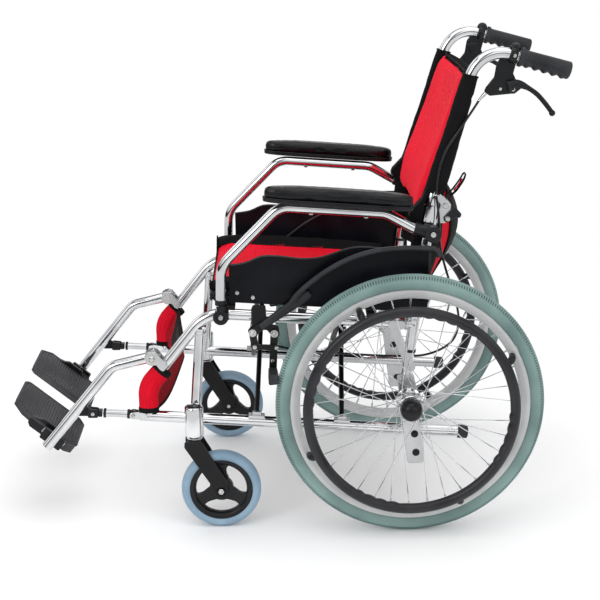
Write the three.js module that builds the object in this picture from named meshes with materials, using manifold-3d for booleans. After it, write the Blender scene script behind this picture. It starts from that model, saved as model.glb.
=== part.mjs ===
// Folding manual wheelchair. Millimetres, +Z up, the front of the chair towards -Y, its left side at +X.
// Every y below is measured from the rear axles; the assembly then moves so that the origin is on the
// floor at the middle of the chair's length and width.
import * as THREE from "three";
import { mergeVertices } from "three/addons/utils/BufferGeometryUtils.js";
import Module from "manifold-3d";

const wasm = await Module();
wasm.setup();

const RAD = Math.PI / 180;

// ---- driving dimensions ----
const GAP = 0.4; // running clearance between two pieces
const TUBE = 11; // radius of the main frame tube
const FRAME_X = 225; // plane of each side frame
const RAIL_SLOPE = 4.12 * RAD; // every fore-and-aft rail falls this much towards the rear
const RAIL_Z = 186.6; // height of the lower rail at the rear axle
const UPPER_RISE = 217.4; // upper rail above the lower rail
const SEAT_RISE = 247.2; // seat rail above the lower rail
const SEAT_X = 198; // plane of each seat rail
const WHEEL_R = 260; // 20 inch rear wheel
const AXLE_Y = 239.9; // rear axles behind the middle of the chair's length
const WHEEL_X = 288;
const WHEEL_SIDES = 40; // facets around the tyre, rim and handrim
const CASTER_SIDES = 26;
const TYRE_R = 16.5;
const CASTER_R = 79; // 6 inch caster
const CASTER_X = 252;
const CASTER_STEM_Y = -420;
const CASTER_TRAIL = 50;
const ARM_X = 252; // plane of the armrest tube
const ARM_PIVOT = [44, 590];
const BACK_PIVOT = [70, 640];
const LEG_PIVOT = [-499, 345];
const STRUT_PIVOT = [-541, 227];
const STRUT_END = [-620, 232];
const LEG_END = [-715, 162];
const FOOT_TILT = -39.65 * RAD; // the footplate is square to the lower leg tube
const FOOT_HINGE_UP = 15; // hinge above the end of the leg tube, along it
const LOCK_PIVOT = [-302, 398];
const SHOE_PIVOT = [-260, 396];
const LINK_ARM = [4, -27]; // from each lock pivot to its end of the link

const lowerRailZ = (y) => RAIL_Z - y * Math.tan(RAIL_SLOPE);
const upperRailZ = (y) => lowerRailZ(y) + UPPER_RISE;
const seatRailZ = (y) => lowerRailZ(y) + SEAT_RISE;
const postY = (z) => -4 + ((z - 288) * 27) / 198; // rear post, in the side frame's plane

// ---- solids ----

// One closed body as an indexed geometry that faces out.
function closed(geometry) {
  let g = geometry.clone();
  g.deleteAttribute("normal");
  g.deleteAttribute("uv");
  g = mergeVertices(g, 1e-4);
  const p = g.attributes.position;
  const index = Array.from(g.index.array);
  const kept = [];
  let volume = 0;
  const a = new THREE.Vector3();
  const b = new THREE.Vector3();
  const c = new THREE.Vector3();
  for (let i = 0; i < index.length; i += 3) {
    const [u, v, w] = index.slice(i, i + 3);
    if (u === v || v === w || w === u) continue;
    kept.push(u, v, w);
    a.fromBufferAttribute(p, u);
    b.fromBufferAttribute(p, v);
    c.fromBufferAttribute(p, w);
    volume += a.dot(b.cross(c));
  }
  g.setIndex(volume < 0 ? kept.reverse() : kept);
  return g;
}

function toManifold(geometry) {
  const g = closed(geometry);
  return new wasm.Manifold(
    new wasm.Mesh({
      numProp: 3,
      vertProperties: new Float32Array(g.attributes.position.array),
      triVerts: new Uint32Array(g.index.array),
    }),
  );
}

function fromManifold(manifold) {
  const mesh = manifold.getMesh();
  const g = new THREE.BufferGeometry();
  g.setAttribute("position", new THREE.BufferAttribute(mesh.vertProperties, 3));
  g.setIndex(Array.from(mesh.triVerts));
  return g;
}

const join = (...solids) => fromManifold(solids.map(toManifold).reduce((a, b) => a.add(b)));
const without = (solid, tool) => solid.subtract(tool);
const cut = (solid, ...tools) => fromManifold(tools.map(toManifold).reduce(without, toManifold(solid)));

function moved(geometry, x, y, z, tilt = 0) {
  return geometry.clone().rotateX(tilt).translate(x, y, z);
}

const mirrored = (geometry) => closed(closed(geometry).scale(-1, 1, 1));

// The points of a path with each inner corner turned into an arc of the given radius.
function rounded(points, radii, step = 23 * RAD) {
  const p = points.map((q) => new THREE.Vector3(...q));
  const out = [p[0]];
  for (let i = 1; i < p.length - 1; i++) {
    const radius = Array.isArray(radii) ? radii[i - 1] : radii;
    const into = p[i].clone().sub(p[i - 1]).normalize();
    const away = p[i + 1].clone().sub(p[i]).normalize();
    const turn = into.angleTo(away);
    const start = p[i].clone().addScaledVector(into, -radius * Math.tan(turn / 2));
    const inward = away.clone().addScaledVector(into, -into.dot(away)).normalize();
    const centre = start.clone().addScaledVector(inward, radius);
    const count = Math.max(1, Math.ceil(turn / step));
    for (let k = 0; k <= count; k++) {
      const at = (turn * k) / count;
      out.push(
        centre
          .clone()
          .addScaledVector(inward, -radius * Math.cos(at))
          .addScaledVector(into, radius * Math.sin(at)),
      );
    }
  }
  out.push(p[p.length - 1]);
  return out;
}

// A round bar along a path, closed flat at both ends.
function bar(path, radius, sides = 10) {
  const p = path.map((q) => (Array.isArray(q) ? new THREE.Vector3(...q) : q));
  const positions = [];
  const index = [];
  let normal = null;
  p.forEach((point, i) => {
    const before = p[Math.max(i - 1, 0)];
    const after = p[Math.min(i + 1, p.length - 1)];
    const tangent = after.clone().sub(point).normalize();
    if (i > 0) tangent.add(point.clone().sub(before).normalize());
    tangent.normalize();
    if (normal === null) {
      normal = new THREE.Vector3(1, 0, 0);
      if (Math.abs(tangent.x) > 0.9) normal.set(0, 0, 1);
    }
    normal.addScaledVector(tangent, -normal.dot(tangent)).normalize();
    const side = tangent.clone().cross(normal);
    for (let k = 0; k < sides; k++) {
      const turn = (2 * Math.PI * (k + 0.5)) / sides;
      const v = point.clone();
      v.addScaledVector(normal, radius * Math.cos(turn)).addScaledVector(side, radius * Math.sin(turn));
      positions.push(v.x, v.y, v.z);
    }
  });
  const last = p.length - 1;
  for (let i = 0; i < last; i++) {
    for (let k = 0; k < sides; k++) {
      const a = i * sides + k;
      const b = i * sides + ((k + 1) % sides);
      index.push(a, b, b + sides, a, b + sides, a + sides);
    }
  }
  for (let k = 1; k < sides - 1; k++) {
    index.push(0, k + 1, k);
    index.push(last * sides, last * sides + k, last * sides + k + 1);
  }
  const g = new THREE.BufferGeometry();
  g.setAttribute("position", new THREE.Float32BufferAttribute(positions, 3));
  g.setIndex(index);
  return g;
}

// A pin along X, centred at (y, z).
const pin = ([y, z], radius, x0, x1, sides = 10) => bar([[x0, y, z], [x1, y, z]], radius, sides);

// An outline of (y, z) points, with its corners rounded, thickened along X.
function slab(outline, x0, x1, radius = 0) {
  let points = outline.map(([y, z]) => new THREE.Vector3(y, z, 0));
  if (radius > 0) {
    const mid = points[0].clone().add(points[points.length - 1]).multiplyScalar(0.5);
    const path = [mid, ...points, mid].map((v) => [v.x, v.y, 0]);
    points = rounded(path, radius, 30 * RAD).slice(0, -1);
  }
  const shape = new THREE.Shape(points.map((v) => new THREE.Vector2(v.x, v.y)));
  const g = new THREE.ExtrudeGeometry(shape, { depth: x1 - x0, bevelEnabled: false });
  const turn = new THREE.Matrix4().set(0, 0, 1, x0, 1, 0, 0, 0, 0, 1, 0, 0, 0, 0, 0, 1);
  return g.applyMatrix4(turn);
}

// A flat strap between two (y, z) points with round ends.
function strap([y0, z0], [y1, z1], half, x0, x1) {
  const along = Math.atan2(z1 - z0, y1 - y0);
  const outline = [];
  for (let k = 0; k <= 6; k++) {
    const turn = along - Math.PI / 2 + (Math.PI * k) / 6;
    outline.push([y1 + half * Math.cos(turn), z1 + half * Math.sin(turn)]);
  }
  for (let k = 0; k <= 6; k++) {
    const turn = along + Math.PI / 2 + (Math.PI * k) / 6;
    outline.push([y0 + half * Math.cos(turn), z0 + half * Math.sin(turn)]);
  }
  return slab(outline, x0, x1);
}

function box(x0, x1, y0, y1, z0, z1) {
  const g = new THREE.BoxGeometry(x1 - x0, y1 - y0, z1 - z0);
  return g.translate((x0 + x1) / 2, (y0 + y1) / 2, (z0 + z1) / 2);
}

// A turned solid about Y from (radius, along) points.
function turnedY(profile, sides) {
  return new THREE.LatheGeometry(profile.map(([r, h]) => new THREE.Vector2(r, h)), sides);
}

const turnedX = (profile, sides) => turnedY(profile, sides).rotateZ(-Math.PI / 2);
const turnedZ = (profile, sides) => turnedY(profile, sides).rotateX(Math.PI / 2);

// ---- side frame: x is measured outboard from the frame's own plane ----

function cradle(y) {
  const under = (at) => seatRailZ(at) - TUBE / Math.cos(RAIL_SLOPE) - GAP;
  const over = (at) => upperRailZ(at) + TUBE - 2;
  const ends = [y - 10, y + 10];
  const shelf = slab([[ends[0], over(ends[0])], [ends[1], over(ends[1])], [ends[1], under(ends[1])],
    [ends[0], under(ends[0])]], -38, 3);
  const lip = slab([[ends[0], over(ends[0])], [ends[1], over(ends[1])], [ends[1], seatRailZ(ends[1]) + 3],
    [ends[0], seatRailZ(ends[0]) + 3]], -13.5, -8.5);
  return join(shelf, lip);
}

function axlePlate() {
  const half = 17;
  const plate = slab([[-5 - half, 305], [-5 + half, 305], [17 + half, 119], [17 - half, 119]], 9.5, 16, 6);
  const axle = pin([0, WHEEL_R], 6, 15, WHEEL_X - FRAME_X + 33);
  const collar = pin([0, WHEEL_R], 11, 15, 29);
  return join(plate, axle, collar);
}

function casterHousing() {
  const x = CASTER_X - FRAME_X;
  const turned = turnedZ([[0, 0], [17.5, 0], [18.5, 3], [18.5, 60], [16.5, 64], [0, 64]], 18);
  const body = moved(turned, x, CASTER_STEM_Y, 189);
  const bore = bar([[x, CASTER_STEM_Y, 180], [x, CASTER_STEM_Y, 244]], 7.6, 12);
  return [body, bore];
}

// Back along the upper rail, down the front slope and into the lower rail.
function upperTube() {
  const path = [[13, upperRailZ(13)], [-392, upperRailZ(-392)], [-510, 285], [-510, lowerRailZ(-510)]];
  return bar(rounded(path.map(([y, z]) => [0, y, z]), [70, 60]), TUBE);
}

function sideFrame() {
  const lower = bar([[0, -528, lowerRailZ(-528)], [0, 104, lowerRailZ(104)]], TUBE);
  const frontPost = bar([[0, -404, 402], [0, -421, lowerRailZ(-421)]], TUBE);
  const rearPost = bar([[0, postY(275), 275], [0, postY(636), 636]], TUBE);
  const [pivotY, pivotZ] = LEG_PIVOT;
  const ear = [[pivotY - 6, pivotZ - 8], [pivotY - 9, pivotZ + 5], [pivotY - 5, pivotZ + 9]];
  const lug = [...ear, [-456, 366], [-452, 340], [-486, pivotZ - 12]];
  const root = [-520, STRUT_PIVOT[1] - 1];
  const tongue = [[40, 600], [40, 630], [58, 632], [62, 648], [76, 650], [84, 640], [82, 606], [70, 598]];
  const [housing, stemBore] = casterHousing();
  return cut(
    join(
      upperTube(), lower, frontPost, rearPost, axlePlate(), housing, cradle(-345), cradle(-70),
      slab(lug, 9.9, 15.5, 4), slab(lug, -15.5, -9.9, 4), pin(LEG_PIVOT, 4, -15, 15),
      strap(STRUT_PIVOT, root, 6.5, 7.2, 12), strap(STRUT_PIVOT, root, 6.5, -12, -7.2),
      pin(STRUT_PIVOT, 3, -10, 10),
      slab(tongue, -6, 6), pin([74, 614], 3, 5, 11.5),
    ),
    stemBore,
    pin(BACK_PIVOT, 4.4, -10, 10),
  );
}

function tipCap() {
  const outside = [[0, 0], [TUBE + 1, 0], [TUBE + 2.4, -2], [TUBE + 2.4, -16]];
  const inside = [[TUBE + GAP, -16], [TUBE + GAP, -3], [0, -3]];
  return turnedY([...outside, ...inside].reverse(), 14);
}

// ---- wheels: x along the axle, origin at the wheel's centre ----

function tyre() {
  const profile = [];
  const reach = 133 * RAD;
  const count = 7;
  for (let k = 0; k <= count; k++) {
    const turn = -reach + (2 * reach * k) / count;
    profile.push([WHEEL_R - TYRE_R + TYRE_R * Math.cos(turn), TYRE_R * Math.sin(turn)]);
  }
  profile.push(profile[0]);
  return turnedX(profile, WHEEL_SIDES);
}

const RIM_R = WHEEL_R - TYRE_R + TYRE_R * Math.cos(133 * RAD) - GAP;
const HUB_FLANGES = [-26, 24];

function spokes() {
  const count = 16;
  const out = [];
  for (let k = 0; k < count; k++) {
    const at = (2 * Math.PI * k) / count;
    const lean = (k % 4 < 2 ? 1 : -1) * 42 * RAD;
    const from = at + lean;
    const x = HUB_FLANGES[k % 2];
    const atHub = [x, 21 * Math.cos(from), 21 * Math.sin(from)];
    const atRim = [x * 0.12, 218 * Math.cos(at), 218 * Math.sin(at)];
    out.push(bar([atHub, atRim], 1.4, 3));
  }
  return out;
}

function wheelRim() {
  const channel = [[RIM_R, -12.5], [RIM_R, 12.5], [222, 13], [214, 7], [214, -7], [222, -13], [RIM_R, -12.5]];
  const rim = turnedX(channel, WHEEL_SIDES);
  const [a, b] = HUB_FLANGES;
  const inboard = [[6.5, a - 5], [14, a - 5], [14, a - 2], [24, a - 2], [24, a + 2], [12, a + 4]];
  const outboard = [[12, b - 4], [24, b - 2], [24, b + 2], [14, b + 2], [14, 33], [6.5, 33]];
  const hub = turnedX([...inboard, ...outboard, inboard[0]], 10);
  return cut(join(rim, hub, ...spokes()), pin([0, 0], 6.5, -60, 60, 10));
}

function hubCap() {
  return turnedX([[0, 33.6], [20, 33.6], [21.5, 38], [20, 47], [13, 54], [0, 57]], 14);
}

const HANDRIM_X = 45;
const HANDRIM_R = 198;

function handrim() {
  const profile = [];
  for (let k = 0; k <= 6; k++) {
    const turn = (2 * Math.PI * k) / 6;
    profile.push([HANDRIM_R + 10 * Math.cos(turn), HANDRIM_X + 10 * Math.sin(turn)]);
  }
  const ring = turnedX(profile, WHEEL_SIDES);
  const stands = [27, 117, 206, 297].map((angle) => {
    const c = Math.cos(angle * RAD);
    const s = Math.sin(angle * RAD);
    return bar([[16, 220 * c, 220 * s], [HANDRIM_X - 6, 202 * c, 202 * s]], 5, 6);
  });
  return join(ring, ...stands);
}

// ---- caster ----

function casterTyre() {
  const core = 62 + GAP;
  const tread = [[71, -15], [76.5, -11], [CASTER_R, 0], [76.5, 11], [71, 15]];
  return turnedX([[core, -12], ...tread, [core, 12], [core, -12]], CASTER_SIDES);
}

function casterWheel() {
  const ring = turnedX([[62, -12], [62, 12], [50, 10], [50, -10], [62, -12]], CASTER_SIDES);
  const hub = pin([0, 0], 13, -15, 15, 14);
  const arms = [90, 210, 330].map((angle) => {
    const c = Math.cos(angle * RAD);
    const s = Math.sin(angle * RAD);
    return strap([0, 0], [54 * c, 54 * s], 8, -7, 7);
  });
  return cut(join(ring, hub, ...arms), pin([0, 0], 4.5, -20, 20));
}

// Origin on the stem's axis at the floor.
function casterFork() {
  const foot = [[13, 92], [12, 68], [-8, 66], [-24, 96]].map(([y, z]) => [CASTER_TRAIL + y, z]);
  const plate = [[-19, 184], [14, 184], ...foot, [-21, 172]];
  const stem = bar([[0, 0, 170], [0, 0, 238]], 7, 12);
  const axle = [CASTER_TRAIL, CASTER_R];
  return join(
    stem, box(-19, 19, -15, 11, 166, 184), slab(plate, 16.6, 20.6, 4), slab(plate, -20.6, -16.6, 4),
    pin(axle, 4, -23, 23), pin(axle, 8, 20, 24, 6), pin(axle, 8, -24, -20, 6),
  );
}

// ---- armrest: x is measured from the frame's plane, as are all the side's pieces below ----

const ARM_OUT = ARM_X - FRAME_X;
const ARM_TOP = [[-246, 646], [-45, 630]]; // the level stretch below the pad
const ARM_FALL = (ARM_TOP[1][1] - ARM_TOP[0][1]) / (ARM_TOP[1][0] - ARM_TOP[0][0]);
const PAD_THICK = 32;
const armTopZ = (y) => ARM_TOP[0][1] + (y - ARM_TOP[0][0]) * ARM_FALL;

function armrestFrame() {
  const path = [[-362, 437], [-359, 533], ...ARM_TOP, [8, 600], ARM_PIVOT].map(([y, z]) => [ARM_OUT, y, z]);
  const tube = bar(rounded(path, [55, 45, 45, 30]), TUBE);
  const eye = pin(ARM_PIVOT, 13, 16, 38.5, 16);
  return cut(join(tube, eye), pin(ARM_PIVOT, 5.5, 0, 60));
}

function armrestPad() {
  const under = (y) => armTopZ(y) + TUBE + 1;
  const over = (y) => under(y) + PAD_THICK;
  const outline = [[-279, under(-279)], [7, under(7)], [7, over(7)], [-279, over(-279)]];
  return slab(outline, ARM_OUT - 10, ARM_OUT + 38, 11);
}

function armrestKnuckle() {
  const bolt = pin(ARM_PIVOT, 5, 12, 42);
  return join(pin(ARM_PIVOT, 14, TUBE + GAP, 15.5, 16), bolt, pin(ARM_PIVOT, 15, 39, 45, 18));
}

function armrestSocket() {
  const [y, z] = [-362, 426];
  const wall = turnedZ([[0, 0], [15.5, 0], [15.5, 29], [TUBE + 1, 29], [TUBE + 1, 9], [0, 9]], 16);
  const cup = moved(wall, ARM_OUT, y, z);
  const mouth = box(ARM_OUT - TUBE - 1, ARM_OUT + TUBE + 1, y - 20, y, z + 9, z + 40);
  const bossAt = [y, z + 8];
  const boss = pin(bossAt, 13, TUBE + GAP, ARM_OUT - TUBE - 0.8, 14);
  return join(cut(cup, mouth), boss, pin(bossAt, 13, ARM_OUT + TUBE + 1, ARM_OUT + 18, 14));
}

function sideGuard() {
  const rear = [[39, 558], [-46, 558], [-90, 562], [-122, 559], [-151, 549]];
  const front = [[-197, 541], [-262, 547], [-310, 536], [-343, 530]];
  const bottom = [[-343, 457], [39, 430]];
  const lipPath = [[-242, 484], [-167, 507], [-94, 545], [-18, 556], [39, 558]];
  const sheet = slab([...rear, ...front, ...bottom], 13, 16.5);
  const lip = slab([...lipPath, ...lipPath.map(([y, z]) => [y + 1, z - 3]).reverse()], 15, 41);
  return join(sheet, lip);
}

// ---- upper back ----

const BACK_LOW = [48, 670];
const BACK_CORNER = [131.4, 938.7];
const GRIP_TILT = -16.26 * RAD;
const GRIP_FROM = [206, 917];
const GRIP_LENGTH = 98;
const along = ([y, z], distance, tilt) => [y + distance * Math.cos(tilt), z + distance * Math.sin(tilt)];
const onHandle = (distance) => along(GRIP_FROM, distance, GRIP_TILT);

function backPost() {
  const end = onHandle(GRIP_LENGTH - 4);
  const path = [[postY(638) + 0.8, 640.5], BACK_LOW, BACK_CORNER, end].map(([y, z]) => [0, y, z]);
  const tube = bar(rounded(path, [60, 60]), TUBE);
  const [y, z] = BACK_PIVOT;
  const eye = [[y + 8, z + 8], [y + 9, z - 4], [y, z - 9], [y - 8, z - 4], [y - 12, z + 10]];
  const cheek = [[38, 652], [38, 668], [56, 672], ...eye];
  return join(tube, slab(cheek, 6.6, 12), slab(cheek, -12, -6.6), pin(BACK_PIVOT, 4, -11, 11));
}

// About Y, its mouth at the origin.
function handleGrip() {
  const inner = TUBE + 1;
  const profile = [[0, GRIP_LENGTH - 3], [inner, GRIP_LENGTH - 3], [inner, 0], [17.5, 0], [17.5, 5]];
  for (let k = 0; k < 7; k++) profile.push([k % 2 ? 17 : 15, 11 + k * 12]);
  profile.push([16.5, 90], [15, GRIP_LENGTH - 1], [12, GRIP_LENGTH + 1], [0, GRIP_LENGTH + 1]);
  return turnedY(profile, 11);
}

const BRAKE_PIVOT = [193, 858];

function brakeBody() {
  const start = onHandle(-19);
  const end = onHandle(-2);
  const ring = bar([[0, ...start], [0, ...end]], 16, 14);
  const bore = bar([[0, ...onHandle(-60)], [0, ...onHandle(30)]], TUBE + GAP, 16);
  const nose = [[200, 850], [151, 846], [141, 856], [160, 882]];
  const block = slab([[187, 909], [200, 907], [194, 885], [204, 864], ...nose], -7, 2, 4);
  return cut(join(ring, block, pin(BRAKE_PIVOT, 3, 1, 9.5)), bore);
}

function brakeLever() {
  const over = [[184, 864], [192, 871], [209, 875], [238, 856], [273, 817]];
  const under = [[264, 807], [230, 844], [207, 856], [192, 849], [184, 853]];
  return cut(slab([...over, ...under], 2.4, 9, 3), pin(BRAKE_PIVOT, 3.4, 0, 12));
}

function backLatch() {
  const outline = [[66, 607], [66, 620], [82, 624], [98, 628], [103, 621], [98, 614], [84, 608], [76, 604]];
  return cut(slab(outline, 6.4, 11, 2), pin([74, 614], 3.4, 0, 20, 12));
}

// ---- wheel lock ----

const plus = ([a, b], [c, d]) => [a + c, b + d];
const LOCK_LAYER = [23.4, 28.4];
const LOCK_LINK = [plus(LOCK_PIVOT, LINK_ARM), plus(SHOE_PIVOT, LINK_ARM)];

function lockPlate() {
  const outline = [[-322, 445], [-280, 445], [-246, 412], [-246, 384], [-268, 378], [-300, 372], [-322, 384]];
  const clamp = [[-318, 414], [-282, 414], [-282, 442], [-318, 442]];
  return join(
    slab(outline, 19, 23, 5), slab(clamp, TUBE + GAP, 20, 4),
    pin(LOCK_PIVOT, 3.5, 22, 34), pin(SHOE_PIVOT, 3.5, 22, 34),
  );
}

function lockHandle() {
  const horn = strap(LOCK_PIVOT, LOCK_LINK[0], 7, ...LOCK_LAYER);
  const lever = strap(LOCK_PIVOT, [-194, 474], 8.5, ...LOCK_LAYER);
  return cut(join(horn, lever), pin(LOCK_PIVOT, 4, 0, 60), pin(LOCK_LINK[0], 3.4, 0, 60));
}

function lockArm() {
  const shoe = [-264, 320];
  const body = join(strap(SHOE_PIVOT, shoe, 7.5, ...LOCK_LAYER), pin(shoe, 6, LOCK_LAYER[0], 80));
  return cut(body, pin(SHOE_PIVOT, 4, 0, 60), pin(LOCK_LINK[1], 3.4, 0, 60));
}

function lockLink() {
  const [a, b] = LOCK_LINK;
  return join(strap(a, b, 5.5, 29, 32), pin(a, 3, LOCK_LAYER[0], 30), pin(b, 3, LOCK_LAYER[0], 30));
}

// ---- legrest ----

const UP_LEG = [Math.sin(-FOOT_TILT), Math.cos(FOOT_TILT)];
const FOOT_HINGE = [LEG_END[0] + FOOT_HINGE_UP * UP_LEG[0], LEG_END[1] + FOOT_HINGE_UP * UP_LEG[1]];
const FOOT_HINGE_X = -25;

function footClamp() {
  const ears = [-21.8, 21.8].map((y) => {
    const ear = join(
      bar([[FOOT_HINGE_X, y - 2.2, 0], [FOOT_HINGE_X, y + 2.2, 0]], 7.5, 14),
      box(FOOT_HINGE_X, -12, y - 2.2, y + 2.2, -7, 7),
    );
    return ear;
  });
  const hinge = bar([[FOOT_HINGE_X, -23, 0], [FOOT_HINGE_X, 23, 0]], 3.5, 10);
  return moved(join(...ears, hinge, box(-16, -7, -24, 24, -12, 12)), 0, ...FOOT_HINGE, FOOT_TILT);
}

function legTube() {
  const start = [LEG_PIVOT[0] - 11.2, LEG_PIVOT[1] - 2.6];
  const path = [start, [-579, 326.5], LEG_END].map(([y, z]) => [0, y, z]);
  const tube = bar(rounded(path, 35), TUBE);
  const [y, z] = LEG_PIVOT;
  const hex = pin(LEG_PIVOT, 14, -9.4, 9.4, 6);
  const [endY, endZ] = STRUT_END;
  const eye = [[endY - 2, endZ + 7], [endY + 6, endZ + 3], [endY + 6, endZ - 4], [endY - 3, endZ - 7]];
  const lug = [[-664, 226], [-644, 250], ...eye];
  return cut(join(tube, hex, slab(lug, -3, 3), footClamp()), pin([y, z], 4.4, -30, 30));
}

const HEEL = 50; // the footplate's heel behind its hinge

// Origin at the hinge, the toe towards -Y and the leg tube towards +Z.
function footplate() {
  const inner = 43 - FRAME_X;
  const outer = FOOT_HINGE_X - 9;
  const sheet = slab([[-100, -4], [HEEL, -4], [HEEL, 7], [-100, 7]], inner, outer, 3);
  const skirt = slab([[-92, 0], [HEEL - 8, 0], [HEEL - 12, -17], [-70, -17]], outer - 5, outer, 3);
  const barrel = bar([[FOOT_HINGE_X, -19, 0], [FOOT_HINGE_X, 19, 0]], 8, 14);
  const web = box(FOOT_HINGE_X - 10, FOOT_HINGE_X - 4, -19, 19, -4, 5);
  const toe = slab([[-100, 2], [-92, 2], [-94, 14], [-100, 14]], inner + 6, FOOT_HINGE_X - 16, 2);
  return cut(join(sheet, skirt, barrel, web, toe), bar([[FOOT_HINGE_X, -30, 0], [FOOT_HINGE_X, 30, 0]], 3.9, 12));
}

// Origin at the strut's rear pivot, its length along -Y.
const STRUT_TILT = -Math.atan2(STRUT_END[1] - STRUT_PIVOT[1], STRUT_PIVOT[0] - STRUT_END[0]);
const STRUT_LENGTH = Math.hypot(STRUT_END[0] - STRUT_PIVOT[0], STRUT_END[1] - STRUT_PIVOT[1]);

function strutSleeve() {
  const eye = pin([0, 0], 8.5, -6.8, 6.8, 14);
  const tube = bar([[0, -7.6, 0], [0, -60, 0]], 8.5, 12);
  const bore = bar([[0, -10.5, 0], [0, -70, 0]], 5.4, 12);
  return cut(join(eye, tube), bore, pin([0, 0], 3.4, -20, 20));
}

function strutRod() {
  const rod = bar([[0, -11.5, 0], [0, -63, 0]], 5, 10);
  const body = slab([[-61, -8.5], [-61, 8.5], [-STRUT_LENGTH - 7, 8.5], [-STRUT_LENGTH - 7, -8.5]], -9, 9, 2);
  const slot = box(-3.8, 3.8, -STRUT_LENGTH - 20, -66, -20, 20);
  return join(rod, cut(body, slot));
}

// ---- folding cross: y along the lower rails, z square to them ----

const FOLD_RISE = SEAT_RISE * Math.cos(RAIL_SLOPE);
const BRACE_ANGLE = Math.atan2(FOLD_RISE, FRAME_X + SEAT_X);
const CROSS_Y = [-305, -136];
const BRACE_HALF = 5; // half the thickness of a brace's flat tube, fore and aft
const BRACE_DEEP = 10; // half its depth, square to its length
const BRACE_STEP = BRACE_HALF + 0.7; // each brace stands this far to its own side of the cross
const BRACE_FOOT = 16; // half the length of the ring on the lower rail

// A flat tube between two points of the same y.
function flatTube([ax, , az], [bx, y, bz]) {
  const middle = [(ax + bx) / 2, y, (az + bz) / 2];
  const half = Math.hypot(bx - ax, bz - az) / 2;
  const tube = box(-half, half, -BRACE_HALF, BRACE_HALF, -BRACE_DEEP, BRACE_DEEP);
  return tube.rotateY(-Math.atan2(bz - az, bx - ax)).translate(...middle);
}

// Feet on the rail at +X, the seat rail at -X.
function brace(side) {
  const centreZ = FRAME_X * Math.tan(BRACE_ANGLE);
  const parts = [bar([[-SEAT_X, -398, FOLD_RISE], [-SEAT_X, -34, FOLD_RISE]], TUBE)];
  for (const cross of CROSS_Y) {
    const y = cross + side * BRACE_STEP;
    const away = 13;
    const foot = [FRAME_X - away * Math.cos(BRACE_ANGLE), y, away * Math.sin(BRACE_ANGLE)];
    parts.push(flatTube(foot, [-SEAT_X, y, FOLD_RISE]));
    const [inside, outside] = [TUBE + GAP, 15];
    const section = [[inside, -BRACE_FOOT], [outside, -BRACE_FOOT], [outside, BRACE_FOOT], [inside, BRACE_FOOT]];
    parts.push(moved(turnedY([...section, section[0]], 14), FRAME_X, y, 0));
    const pinEnd = y - 2 * BRACE_STEP - BRACE_HALF - 6;
    if (side > 0) parts.push(bar([[0, y, centreZ], [0, pinEnd, centreZ]], 4.5, 10));
  }
  const body = join(...parts);
  if (side > 0) return body;
  return cut(body, ...CROSS_Y.map((y) => bar([[0, y - 40, centreZ], [0, y + 5, centreZ]], 5.2, 12)));
}

// ---- soft pieces, as plain solids ----

function seat() {
  const under = (y) => seatRailZ(y) + TUBE + 0.6;
  const outline = [[-386, under(-386)], [-14, under(-14)], [-14, under(-14) + 14], [-386, under(-386) + 14]];
  return slab(outline, -208, 208, 5);
}

const panel = (outline) => slab(outline, -212, 212, 3);
const backLower = () => panel([[24, 500], [postY(628) - 6, 628], [postY(628) + 8, 628], [62, 500]]);
const backUpper = () => panel([[42, 648], [109, 888], [125, 884], [60, 644]]);
const calfStrap = () => panel([[-516, 232], [-506, 232], [-500, 326], [-510, 328]]);

// ---- finishes ----

function finish(color, roughness, metalness) {
  return new THREE.MeshStandardMaterial({ color, roughness, metalness });
}

const FINISHES = {
  aluminium: finish(0xc4c6c9, 0.28, 1),
  steel: finish(0xd8dadd, 0.2, 1),
  blackSteel: finish(0x252527, 0.5, 0.4),
  plastic: finish(0x1c1d20, 0.5, 0),
  greyPlastic: finish(0x3b3b40, 0.55, 0),
  rubber: finish(0x2c2e31, 0.8, 0),
  tyre: finish(0x8da5a3, 0.85, 0),
  casterTyre: finish(0x8ba6b6, 0.8, 0),
  vinyl: finish(0x26272b, 0.6, 0),
  redMesh: finish(0xd8233a, 0.9, 0),
};

// ---- assembly ----

const chair = new THREE.Group();
chair.name = "wheelchair";
chair.position.y = AXLE_Y;

function place(name, geometry, material, x = 0, y = 0, z = 0, tilt = 0) {
  const shaded = closed(geometry).toNonIndexed();
  shaded.computeVertexNormals();
  const mesh = new THREE.Mesh(shaded, FINISHES[material]);
  mesh.name = name;
  mesh.position.set(x, y, z);
  mesh.rotation.x = tilt;
  chair.add(mesh);
}

// The same piece on the left and, as its mirror image, on the right.
function pair(name, geometry, material, x = FRAME_X, y = 0, z = 0, tilt = 0) {
  place(`left_${name}`, geometry, material, x, y, z, tilt);
  place(`right_${name}`, mirrored(geometry), material, -x, y, z, tilt);
}

pair("side_frame", sideFrame(), "aluminium");
pair("tip_cap", tipCap(), "rubber", FRAME_X, 106 + 14, lowerRailZ(120), -RAIL_SLOPE);
pair("wheel_rim", wheelRim(), "steel", WHEEL_X, 0, WHEEL_R);
pair("wheel_tyre", tyre(), "tyre", WHEEL_X, 0, WHEEL_R);
pair("handrim", handrim(), "greyPlastic", WHEEL_X, 0, WHEEL_R);
pair("hub_cap", hubCap(), "plastic", WHEEL_X, 0, WHEEL_R);
pair("caster_fork", casterFork(), "blackSteel", CASTER_X, CASTER_STEM_Y, 0);
pair("caster_wheel", casterWheel(), "plastic", CASTER_X, CASTER_STEM_Y + CASTER_TRAIL, CASTER_R);
pair("caster_tyre", casterTyre(), "casterTyre", CASTER_X, CASTER_STEM_Y + CASTER_TRAIL, CASTER_R);
pair("armrest_frame", armrestFrame(), "steel");
pair("armrest_pad", armrestPad(), "vinyl");
pair("armrest_knuckle", armrestKnuckle(), "plastic");
pair("armrest_socket", armrestSocket(), "plastic");
pair("side_guard", sideGuard(), "plastic");
pair("back_post", backPost(), "aluminium");
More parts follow.
